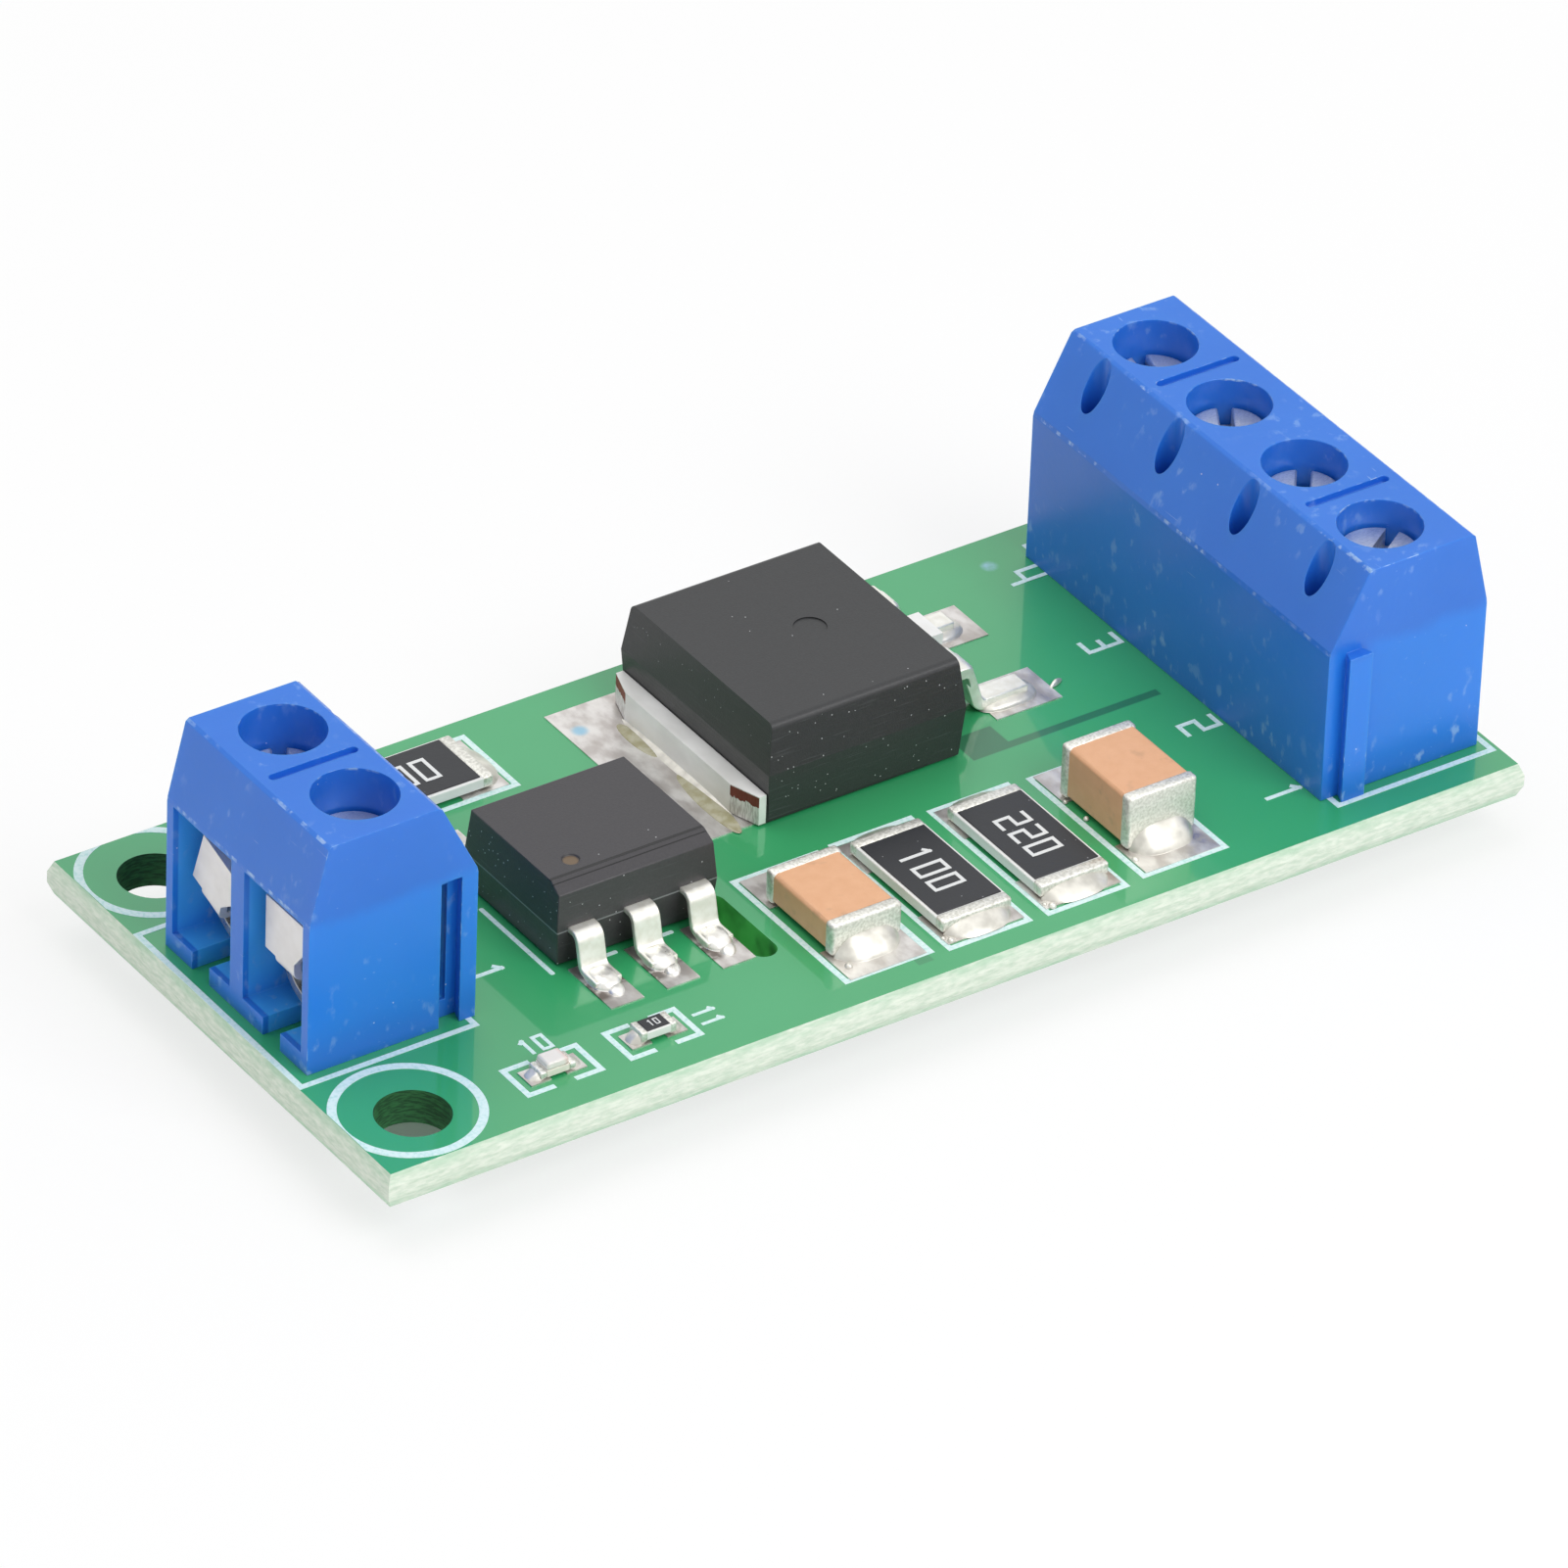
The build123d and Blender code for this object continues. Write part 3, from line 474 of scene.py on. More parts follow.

# %% [markdown]
# ## Black epoxy
# The two packages are black epoxy filled with fine silica: matt and a little grey on top,
# with streaks on the sides where the mould slid away, and white dust that clings to the
# upright faces. The thyristor has a painted highlight along its top edge on the -y side, and
# its faces towards -x are painted darker, as painted shade. The optocoupler is the paler of the
# two. A fine pale line at half height is where its mould closed, two grooves run along its
# bevel and are painted dark, as painted shade, and the dot beside lead 1 is brown.

# %% Black plastic finishes
def epoxy(name, dark, light):
    """The finish of a moulded package between two greys, with its colour still to be fed."""
    made = Finish(name, Roughness=0.45)
    upright = made.nz.size() < 0.6
    streaks = made.noise(0.5, 4, (0.25, 0.25, 5))
    body = made.mix(made.noise(0.1, 4), dark, light)
    body = made.mix(upright * streaks.rise(0.58, 0.72) * 0.35, body, ink(86, 88, 90))
    dust = made.specks(0.42, 0.026, 0.16).most(upright * made.specks(0.26, 0.024, 0.4))
    made.feed("Roughness", made.noise(0.3, 3) * 0.12 + 0.34)
    return made, upright, streaks, made.mix(dust * 0.9, body, ink(215, 218, 220))


black, upright, streaks, dust_and_painted_shading = epoxy("thyristor_epoxy", ink(36, 37, 38), ink(52, 53, 55))
package_low, package_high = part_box("thyristor_package")
# Painted highlight: a paler band along the top edge on the -y side.
painted_top_edge_highlight = black.band(black.y, package_low.y + 0.12 * MM, 0.09)
painted_top_edge_highlight = painted_top_edge_highlight * (black.z > package_high.z - 0.4 * MM) * black.noise(0.8, 2).rise(0.3, 0.6)
dust_and_painted_shading = black.mix(painted_top_edge_highlight * 0.5, dust_and_painted_shading, ink(112, 114, 117))
# Painted shade: the faces towards -x are painted darker.
black.feed("Base Color", black.mix((black.nx < -0.5) * 0.6, dust_and_painted_shading, ink(20, 22, 23)))
black.bumps(black.noise(0.06, 2) * 0.5 + upright * streaks * 0.8, 0.02, 0.5)

greys = ink(50, 49, 52), ink(66, 64, 67)
matt_black, upright, streaks, dust_and_painted_shading = epoxy("optocoupler_epoxy", *greys)
opto_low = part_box("optocoupler_body")[0]
seam = upright * matt_black.band(matt_black.z, opto_low.z + 1.55 * MM, 0.035)
dust_and_painted_shading = matt_black.mix(seam * 0.6, dust_and_painted_shading, ink(150, 152, 154))
wide_groove = matt_black.band(matt_black.y, opto_low.y + 0.84 * MM, 0.075)
fine_groove = matt_black.band(matt_black.y, opto_low.y + 0.6 * MM, 0.025)
# Painted shade: the two grooves are painted nearly black, besides their relief.
groove_and_painted_shade = (matt_black.nz > 0.3) * wide_groove.most(fine_groove)
dust_and_painted_shading = matt_black.mix(groove_and_painted_shade, dust_and_painted_shading, ink(12, 12, 14))
dot = matt_black.spot(opto_low.x / MM + 1.6, opto_low.y / MM + 1.6, 0.3, 0.06)
dot = dot * (matt_black.nz > 0.5)
matt_black.feed("Base Color", matt_black.mix(dot * 0.75, dust_and_painted_shading, ink(122, 100, 72)))
matt_black.bumps(matt_black.noise(0.06, 2) * 0.5 + upright * streaks * 0.6 - groove_and_painted_shade, 0.02, 0.5)
print("black plastics ready")

# %% [markdown]
# ## Metals
# Tinned, soldered and plated metal differ less in colour than in relief: plating on a chip's
# end is lumpy, a stamped lead is smooth with a fine grain, and solder flows into soft
# puddles. So each metal gets its own bump pattern and roughness. Matt tin is half a mirror
# and half a pale powder, so its finishes are only partly metallic.

# %% Metal finishes
def metal(name, dark, light, roughness, grain, depth, metallic, detail=3):
    """A metal that shifts between two colours, with a relief of a grain in millimetres."""
    made = Finish(name, Metallic=metallic, Roughness=roughness)
    pattern = made.noise(grain, detail)
    made.feed("Base Color", made.mix(pattern.rise(0.3, 0.7), dark, light))
    made.feed("Roughness", pattern * 0.2 + (roughness - 0.1))
    made.bumps(pattern, depth)
    return made


solder = metal("bright_solder", ink(200, 197, 188), ink(230, 227, 218),
               roughness=0.38, grain=0.6, depth=0.02, metallic=0.6, detail=2)
foot_solder = metal("foot_solder", ink(226, 223, 216), ink(250, 249, 244),
                    roughness=0.3, grain=0.4, depth=0.03, metallic=0.65, detail=2)
contact_metal = metal("contact_plating", ink(190, 186, 180), ink(216, 213, 208),
                      roughness=0.3, grain=0.3, depth=0.01, metallic=0.8)
plate_metal = metal("plate_plating", ink(232, 228, 224), ink(242, 239, 236),
                    roughness=0.45, grain=1.2, depth=0.004, metallic=0.4)
cap_metal = metal("end_cap_plating", ink(204, 203, 194), ink(240, 239, 232),
                  roughness=0.42, grain=0.12, depth=0.02, metallic=0.65, detail=4)
print("five metals ready")

# %% [markdown]
# ## Tinned lands and leads
# Each land was dipped and then soldered with flux, which leaves wrinkles and darker stains
# near the joint. The leads were cut from a plated strip, so the copper shows red on the
# sheared faces: on the corners of the cooling tab, and on the end of the short middle lead.
# Where the tab runs inside the package it is dark, so no bright line shows along the joint.

# %% Lands, leads and the cooling tab
tinned = Finish("tinned_copper", Metallic=0.85, Roughness=0.4)
wrinkles = tinned.noise(0.7, 6, (1, 0.6, 1))
stained = tinned.noise(1.8, 3).rise(0.5, 0.7)
silver = tinned.mix(wrinkles.rise(0.35, 0.65), ink(196, 190, 186), ink(230, 227, 224))
silver = tinned.mix(stained * 0.35, silver, ink(150, 140, 128))
soot = 0
for number in (1, 2, 3):
    low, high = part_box(f"optocoupler_lead_{number}")
    left, right, toe = low.x / MM, high.x / MM, low.y / MM
    beside = tinned.window(left - 0.3, left + 0.3, toe - 0.7, toe + 0.6, 0.15)
    beside = beside.most(tinned.window(right - 0.2, right + 0.3, toe - 0.1, toe + 0.8, 0.15))
    soot = beside * tinned.noise(0.35, 4).rise(0.3, 0.5) + soot
silver = tinned.mix(soot * 0.8, silver, ink(84, 72, 64))
violet = tinned.spot(12.2, -9.6, 0.3, 0.3) * tinned.noise(0.4, 3).rise(0.35, 0.6)
silver = tinned.mix(violet, silver, ink(84, 100, 168))
silver = tinned.mix(tinned.spot(-3.98, 8.83, 0.3, 0.15) * 0.8, silver, ink(140, 196, 224))
tinned.feed("Base Color", silver)
tinned.feed("Roughness", wrinkles * 0.25 + (stained + soot) * 0.1 + 0.22)
tinned.bumps(wrinkles, 0.03)

TAB_THICKNESS = 1.3 * MM
TAB_SHINE = 0.2
tab_low, tab_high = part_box("thyristor_tab")
tab_top = tab_low.z + TAB_THICKNESS
tab_metal = Finish("tab_tinning", Metallic=TAB_SHINE, Roughness=0.45)
wash = tab_metal.noise(1.2, 5, (1, 0.5, 1))
tinning = tab_metal.mix(wash.rise(0.3, 0.7), ink(236, 236, 233), ink(252, 252, 250))
corner = tab_metal.nx.size() > 0.7
corner = corner * (tab_metal.ny.size() > 0.2) * (tab_metal.ny.size() < 0.6)
ragged = tab_metal.z + tab_metal.noise(0.25, 4) * 0.4 * MM
copper = corner * (ragged > tab_top - 0.3 * MM) * (tab_metal.z < tab_top - 0.04 * MM)
copper = copper.most((tab_metal.nx > 0.7) * (tab_metal.x > tab_high.x - 0.1 * MM))
striped = corner * tab_metal.noise(0.12, 2, (3, 3, 0.3)).rise(0.4, 0.6)
tinning = tab_metal.mix(striped * 0.5, tinning, ink(140, 134, 128))
moulded_in = (tab_metal.x > package_low.x + 0.03 * MM) * (tab_metal.x < package_high.x)
tinning = tab_metal.mix(moulded_in, tinning, ink(34, 36, 37))
tab_metal.feed("Metallic", (1 - moulded_in) * TAB_SHINE)
tab_metal.feed("Base Color", tab_metal.mix(copper, tinning, ink(124, 58, 42)))
tab_metal.feed("Roughness", wash * 0.15 + copper * 0.15 + 0.38)
tab_metal.bumps(wash + striped * 0.5, 0.02)

lead_metal = Finish("lead_tinning", Metallic=0.6, Roughness=0.36)
grain = lead_metal.noise(0.4, 3)
plating = lead_metal.mix(grain.rise(0.3, 0.7), ink(234, 232, 222), ink(248, 247, 240))
red_edge = (lead_metal.nx > 0.8) * (lead_metal.z > board_top + 2.1 * MM)
lead_metal.feed("Base Color", lead_metal.mix(red_edge * 0.8, plating, ink(150, 82, 60)))
lead_metal.feed("Roughness", grain * 0.2 + 0.26)
lead_metal.bumps(grain, 0.01)
print("lands and leads ready")

# %% [markdown]
# ## Screws
# The terminal screws are plated steel. The head is turned, which leaves fine rings, and the
# shank below it carries a thread. The thread is drawn as relief, one crest in each pitch,
# because the shaft only shows through the mouth and the crests are finer than a line there.

# %% Screw finish
THREAD_PITCH = 0.5 * MM
screw_steel = Finish("screw_plating", Metallic=0.85, Roughness=0.34)
brushed = screw_steel.noise(0.12, 3, (1, 6, 1))
crests = screw_steel.z.maths("PINGPONG", THREAD_PITCH / 2) * (2 / THREAD_PITCH)
shank = screw_steel.nz.size() < 0.5
steel = screw_steel.mix(brushed.rise(0.3, 0.7), ink(196, 202, 208), ink(232, 234, 236))
screw_steel.feed("Base Color", steel)
screw_steel.feed("Roughness", brushed * 0.2 + 0.25)
screw_steel.bumps(brushed * 0.1 + shank * crests, 0.12, 0.8)
print("screw finish ready")

# %% [markdown]
# ## Ceramics
# Chip capacitors are blocks of tan ceramic, sawn and tumbled, with grey smudges. Chip
# resistors are white alumina under a black glaze.

# %% Ceramic finishes
tan = Finish("capacitor_ceramic", Roughness=0.42)
smudge = tan.noise(0.9, 5).rise(0.6, 0.75)
clay = tan.mix(tan.noise(0.5, 4), ink(222, 166, 124), ink(236, 184, 144))
tan.feed("Base Color", tan.mix(smudge * 0.3, clay, ink(160, 130, 104)))
tan.bumps(tan.noise(0.08, 3), 0.01, 0.5)

alumina = Finish("resistor_alumina", Roughness=0.5)
white = alumina.mix(alumina.noise(0.4, 4), ink(232, 232, 230), ink(244, 244, 242))
alumina.feed("Base Color", white)
alumina.bumps(alumina.noise(0.08, 2), 0.008, 0.5)

glaze = Finish("resistor_glaze", Roughness=0.3)
cloud = glaze.noise(0.3, 4)
black_glaze = glaze.mix(cloud, ink(26, 28, 33), ink(38, 40, 45))
pale_dust = glaze.specks(0.35, 0.03, 0.25) * 0.6
glaze.feed("Base Color", glaze.mix(pale_dust, black_glaze, ink(170, 172, 176)))
glaze.feed("Roughness", cloud * 0.15 + 0.25)
glaze.bumps(glaze.noise(0.15, 2), 0.006, 0.5)
print("ceramics ready")

# %% [markdown]
# ## The indicator
# The indicator is a white base under a drop of clear resin. The resin looks milky because the
# base shows through it, so it transmits some of the light and scatters the rest, and its end
# is a little pink.

# %% Indicator finishes
lens_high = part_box("indicator_lens")[1]
white_base = Finish("indicator_base_white", Roughness=0.45)
white = white_base.mix(white_base.noise(0.3), ink(232, 226, 212), ink(244, 240, 230))
white_base.feed("Base Color", white)
clear = Finish("indicator_resin", Roughness=0.2, Transmission_Weight=0.15, IOR=1.5)
milky = clear.mix(clear.noise(0.5), ink(244, 238, 232), ink(254, 251, 247))
pink_end = clear.x.rise(lens_high.x - 0.3 * MM, lens_high.x)
clear.feed("Base Color", clear.mix(pink_end * 0.5, milky, ink(236, 170, 160)))
clear.bumps(clear.noise(0.3, 2), 0.02, 0.4)
print("indicator finishes ready")

# %% [markdown]
# ## Painting the CAD nodes
# The record names a material slot for each node. Each slot gets one finish, apart from the
# optocoupler, which is a paler black than the thyristor.

# %% Which finish goes with which slot
finishes = {
    "solder_mask": mask, "tinned_copper": tinned, "solder": solder, "blue_moulding": blue,
    "contact_metal": contact_metal, "plate_metal": plate_metal, "screw_steel": screw_steel,
    "black_moulding": black, "tab_metal": tab_metal, "lead_metal": lead_metal,
    "capacitor_ceramic": tan, "cap_metal": cap_metal, "resistor_ceramic": alumina,
    "resistor_coat": glaze, "indicator_white": white_base, "indicator_clear": clear,
}
finish_of = {node: finishes[slot] for node, slot in slot_of.items()}
finish_of["optocoupler_body"] = matt_black
for node, placed in frame["nodes"].items():
    placed.data.materials.clear()
    placed.data.materials.append(finish_of[node].material)
print(len(frame["nodes"]), "nodes painted")

# %% [markdown]
# ## A place for finished pieces
# Every new piece is handed in the same way: it gets a mesh, a finish and the body that it moves
# with. Its object stays at the origin, with its place in its mesh, as a CAD node's does.

# %% Handing in a piece
def piece(name, shape, finish, body, stands_for=(), smooth=False):
    """Makes a bmesh into a named piece that rides on a body and has its finish."""
    made = bpy.data.objects.new(name, bpy.data.meshes.new(name))
    shape.to_mesh(made.data)
    shape.free()
    made.data.materials.append(finish.material)
    bpy.context.scene.collection.objects.link(made)
    if smooth:
        made.data.shade_smooth()
    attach(made, body)
    if stands_for:
        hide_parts(*stands_for)
    return made


print("pieces can be handed in")

# %% [markdown]
# ## Soft edges
# A CAD edge is perfectly sharp, and nothing real is. A rounded edge catches a thin line of
# light, which tells the eye how big the part is. For each node the triangles of the CAD mesh
# are merged back into flat faces on a copy, and a Bevel modifier rounds the sharp edges. The
# open side of a terminal is one face with a comb's outline, which is split into plain ones
# first. A Weighted Normal modifier then keeps the large faces flat in the light. Slots with
# gentle slopes, such as the packages' drafted sides, need a smaller crease angle in degrees.

# %% Softened copies
CREASE = 32
COMB_CORNERS = 12


def softened(node, radius, crease):
    """A copy of a CAD node, its edges past a crease angle rounded by a radius in millimetres."""
    shape = bmesh.new()
    shape.from_mesh(frame["nodes"][node].data)
    bmesh.ops.remove_doubles(shape, verts=shape.verts, dist=1e-6)
    bmesh.ops.dissolve_limit(shape, angle_limit=math.radians(0.5), verts=shape.verts,
                             edges=shape.edges)
    if slot_of[node] == "blue_moulding":
        combs = [face for face in shape.faces
                 if abs(face.normal.x) > 0.99 and len(face.verts) > COMB_CORNERS]
        bmesh.ops.connect_verts_concave(shape, faces=combs)
    made = piece(node + "_soft", shape, finish_of[node], body_of[node],
                 [node], True)
    made.data.set_sharp_from_angle(angle=math.radians(crease))
    bevel = made.modifiers.new("soft_edges", "BEVEL")
    bevel.width = radius * MM
    bevel.segments = 2
    bevel.limit_method = "ANGLE"
    bevel.angle_limit = math.radians(crease)
    bevel.use_clamp_overlap = True
    flat = made.modifiers.new("flat_faces", "WEIGHTED_NORMAL")
    flat.keep_sharp = True


soft_radius = {
    "blue_moulding": 0.08, "black_moulding": 0.06, "contact_metal": 0.05, "plate_metal": 0.07,
    "screw_steel": 0.08, "tab_metal": 0.04, "lead_metal": 0.05, "capacitor_ceramic": 0.06,
    "resistor_ceramic": 0.05, "resistor_coat": 0.02, "indicator_white": 0.03,
    "indicator_clear": 0.08,
}
gentle_slopes = {"black_moulding": 12, "tab_metal": 12}
to_soften = [node for node in frame["nodes"] if slot_of[node] in soft_radius]
for node in to_soften:
    slot = slot_of[node]
    softened(node, soft_radius[slot], gentle_slopes.get(slot, CREASE))
print("softened", len(to_soften), "nodes")

# %% [markdown]
# ## Plated ends of the chips
# A chip's ends are dipped in paste and plated, so their corners are rounder than the ceramic's.
# Each end is a block with well rounded edges round the end of the ceramic. How far it reaches
# along the chip is read from the CAD mesh, and it is a hair wider than the ceramic, so that no
# two faces coincide.

# %% Rounded end caps
HAIR = 0.012


def rounded_block(low, high, radius):
    """A block between two corners with its edges rounded by a radius in millimetres."""
    shape = bmesh.new()
    bmesh.ops.create_cube(shape, size=1)
    bmesh.ops.scale(shape, vec=high - low, verts=shape.verts)
    bmesh.ops.translate(shape, vec=(low + high) / 2, verts=shape.verts)
    bmesh.ops.bevel(shape, geom=list(shape.edges), offset=radius * MM, segments=3, profile=0.5,
                    affect="EDGES", material=-1)
    return shape


def gathered(shapes):
    """Several bmeshes as one."""
    whole = bmesh.new()
    for shape in shapes:
        part = bpy.data.meshes.new("part")
        shape.to_mesh(part)
        shape.free()
        whole.from_mesh(part)
        bpy.data.meshes.remove(part)
    return whole


def plated_ends(node, axis, radius):
    """Two rounded blocks in place of a chip's end caps, which lie apart along an axis."""
    low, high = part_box(node)
    centre = (low[axis] + high[axis]) / 2
    along = [corner.co[axis] for corner in frame["nodes"][node].data.vertices]
    inner_of_low = max(place for place in along if place < centre)
    inner_of_high = min(place for place in along if place > centre)
    wide = at(HAIR, HAIR)
    wide[axis] = 0
    blocks = []
    for limit, inner in ((low, inner_of_low), (high, inner_of_high)):
        near, far = low - wide, high + wide
        near[axis], far[axis] = min(limit[axis], inner), max(limit[axis], inner)
        blocks.append(rounded_block(near, far, radius))
    piece(node + "_plated", gathered(blocks), cap_metal, body_of[node], [node], True)


# For each chip, the axis that its ends lie apart on and their rounding in millimetres
caps = {"capacitor_1_end_caps": (1, 0.16), "capacitor_2_end_caps": (1, 0.16),
        "resistor_1_end_caps": (1, 0.12), "resistor_2_end_caps": (1, 0.12),
        "resistor_3_end_caps": (0, 0.12), "small_resistor_end_caps": (0, 0.07),
        "indicator_terminals": (0, 0.07)}
for node, (axis, radius) in caps.items():
    plated_ends(node, axis, radius)
print(len(caps), "chips have plated ends")

# %% [markdown]
# ## White print
# The board's white print is screen ink, about a hundredth of a millimetre thick and thin in
# places, so the green shows through. Every mark is first laid out flat at height zero, and
# raise_ink then lifts it to its surface and gives it its thickness.

# %% Print ink
INK_RISE = 0.015 * MM
INK_SINK = 0.002 * MM
print_ink = Finish("white_print", Roughness=0.55)
patchy = print_ink.noise(0.15, 4).rise(0.25, 0.6)
print_ink.feed("Base Color", print_ink.mix(patchy, ink(190, 230, 226), ink(222, 244, 243)))
print_ink.bumps(print_ink.noise(0.1, 3), 0.01, 0.4)


def raise_ink(shape, surface):
    """Lifts flat ink to a surface's height and gives it its thickness."""
    bmesh.ops.translate(shape, verts=shape.verts, vec=(0, 0, surface + INK_RISE - INK_SINK))
    raised = bmesh.ops.extrude_face_region(shape, geom=list(shape.faces))
    low = [part for part in raised["geom"] if isinstance(part, bmesh.types.BMVert)]
    bmesh.ops.translate(shape, verts=low, vec=(0, 0, -INK_RISE))
    bmesh.ops.recalc_face_normals(shape, faces=shape.faces)


def printed(name, shape):
    """Hands in flat ink as a piece of print on the board."""
    raise_ink(shape, board_top)
    piece(name, shape, print_ink, "board_assembly")


print("ink is", INK_RISE / MM, "mm thick")

# %% [markdown]
# ## Outlines
# An outline says where a part goes. It is a flat rectangle, inset by the line's width, with
# its inside taken away. Round the two small parts the long sides are open in the middle: two
# cuts part the faces there, and those between the cuts go.

# %% Rectangular outlines
def everything(shape):
    """All corners, edges and faces of a bmesh."""
    return [*shape.verts, *shape.edges, *shape.faces]


def hollow_out(shape, line):
    """Takes away the inside of a flat face, up to a rim of a line's width in millimetres."""
    rim = bmesh.ops.inset_region(shape, faces=list(shape.faces), thickness=line * MM,
                                 use_boundary=True, use_even_offset=True)["faces"]
    inner = [face for face in shape.faces if face not in set(rim)]
    bmesh.ops.delete(shape, geom=inner, context="FACES")


def frame_line(x_from, x_to, y_from, y_to, line=0.26, gap=None):
    """A rectangular outline, in millimetres, with an optional gap in its two long sides."""
    shape = bmesh.new()
    bmesh.ops.create_grid(shape, x_segments=1, y_segments=1, size=0.5)
    bmesh.ops.scale(shape, vec=((x_to - x_from) * MM, (y_to - y_from) * MM, 1),
                    verts=shape.verts)
    hollow_out(shape, line)
    if gap:
        for cut in gap:
            bmesh.ops.bisect_plane(shape, geom=everything(shape), plane_co=at(cut, 0),
                                   plane_no=(1, 0, 0))
        between = [face for face in shape.faces
                   if gap[0] * MM < face.calc_center_median().x < gap[1] * MM]
        bmesh.ops.delete(shape, geom=between, context="FACES")
    bmesh.ops.translate(shape, verts=shape.verts, vec=at((x_from + x_to) / 2, (y_from + y_to) / 2))
    return shape


small = (0.25, (-0.45, 0.45))
outlines = {
    "outline_capacitor_1": (-4.7, -0.6, -10.6, -2.65),
    "outline_resistor_1": (-0.1, 3.8, -10.83, -2.57),
    "outline_resistor_2": (4.45, 8.3, -10.88, -2.64),
    "outline_capacitor_2": (9.0, 13.07, -10.72, -2.8),
    "outline_resistor_3": (-16.23, -7.93, 6.94, 11.0),
    "outline_control_terminal": (-26.0, -17.98, -5.63, 6.21),
    "outline_mains_terminal": (18.21, 25.83, -10.72, 10.72),
    "outline_indicator": (-19.0, -15.5, -10.5, -8.45, *small),
    "outline_small_resistor": (-14.4, -11.05, -10.53, -8.42, *small),
}
for name, measures in outlines.items():
    printed(name, frame_line(*measures))
print(len(outlines), "outlines")

# %% [markdown]
# ## Rings round the mounting holes
# The rings tell where a screw head or a spacer may stand. A ring is a round plate with its
# inside taken away, like the outlines. Where it reaches past the flat top of the board it is
# cut off, as the scored edge does to the real one.

# %% Rings
EDGE_SLOPE = 0.22 * MM


def trimmed(shape):
    """Cuts off the ink that would lie past the flat top of the board."""
    for point, away in ((cad_low, (-1, 0, 0)), (cad_low, (0, -1, 0)), (cad_high, (0, 1, 0))):
        inset = Vector(point) - Vector(away) * EDGE_SLOPE
        bmesh.ops.bisect_plane(shape, geom=everything(shape), plane_co=inset, plane_no=away,
                               clear_outer=True)


def ring_line(x, y, radius, line):
    """A round outline of a mean radius in millimetres."""
    shape = bmesh.new()
    bmesh.ops.create_circle(shape, cap_ends=True, segments=96, radius=(radius + line / 2) * MM)
    hollow_out(shape, line)
    bmesh.ops.translate(shape, verts=shape.verts, vec=at(x, y))
    trimmed(shape)
    return shape


for name, x, y in (("ring_front", -23.26, -8.82), ("ring_back", -23.17, 9.32)):
    printed(name, ring_line(x, y, 2.85, 0.37))
print("two rings")

# %% [markdown]
# ## Strokes
# A stroke is a flat bar with rounded corners between two points. The optocoupler's outline
# shows as such strokes, beside its end and between its leads, because ink on a land would
# spoil the solder.

# %% Strokes
def turn_flat(shape, degrees, corners):
    """Turns some of a shape's corners round the upright axis."""
    turn = Matrix.Rotation(math.radians(degrees), 3, "Z")
    bmesh.ops.rotate(shape, matrix=turn, verts=corners)


def add_stroke(shape, start, end, line, lift=0.0):
    """Adds a flat bar between two points in millimetres to a shape, lifted by millimetres."""
    start, end = at(*start), at(*end)
    along = end - start
    made = bmesh.ops.create_grid(shape, x_segments=1, y_segments=1, size=0.5)["verts"]
    bmesh.ops.scale(shape, vec=(along.length + line * MM, line * MM, 1), verts=made)
    turn_flat(shape, math.degrees(math.atan2(along.y, along.x)), made)
    bmesh.ops.translate(shape, verts=made, vec=(start + end) / 2 + at(0, 0, lift))


strokes = {
    "opto_side_line": ((-13.8, 0.7), (-13.8, -4.2)),
    "opto_tick_1": ((-11.5, -4.28), (-11.0, -4.28)),
    "opto_tick_2": ((-8.95, -4.28), (-8.45, -4.28)),
    "opto_end_line": ((-6.0, 0.7), (-6.0, -2.6)),
}
for name, (start, end) in strokes.items():
    flat_bar = bmesh.new()
    add_stroke(flat_bar, start, end, 0.2)
    bmesh.ops.bevel(flat_bar, geom=list(flat_bar.verts), offset=0.07 * MM, segments=2,
                    profile=0.5, affect="VERTICES", material=-1)
    printed(name, flat_bar)
print(len(strokes), "strokes")

# %% [markdown]
# ## Numbers
# The terminals' ways and the small parts are numbered, and each chip resistor has its code on
# the glaze. The marks here are plain numbers, built of bars of one width, as a plotter draws
# them: each numeral is a path on a grid one wide and two high, and each leg of the path is a
# bar. Every bar lies a hair higher than the one before, so no two faces coincide.

# %% Numerals of bars
LEG_LIFT = 0.0004
NUMERALS = {
    "0": ((0, 0), (1, 0), (1, 2), (0, 2), (0, 0)),
    "1": ((0.5, 0), (0.5, 2), (0.2, 1.75)),
    "2": ((0, 2), (1, 2), (1, 1), (0, 1), (0, 0), (1, 0)),
    "3": ((0, 2), (1, 2), (1, 1), (0.3, 1), (1, 1), (1, 0), (0, 0)),
    "4": ((0, 2), (0, 0.8), (1, 0.8), (1, 2), (1, 0)),
}


def number_mark(name, digits, x, y, turn, height, line, surface, finish, slot):
    """Raised digits centred on a point in millimetres, turned in degrees."""
    shape = bmesh.new()
    wide, step = height * 0.46, height * 0.78
    for place, digit in enumerate(digits):
        left = (place - (len(digits) - 1) / 2) * step - wide / 2
        path = [(left + column * wide, (row - 1) * height / 2) for column, row in NUMERALS[digit]]
        for leg, (start, end) in enumerate(zip(path, path[1:])):
            add_stroke(shape, start, end, line, leg * LEG_LIFT)
    turn_flat(shape, turn, shape.verts)
    bmesh.ops.translate(shape, verts=shape.verts, vec=at(x, y))
    raise_ink(shape, surface)
    piece(name, shape, finish, "board_assembly")


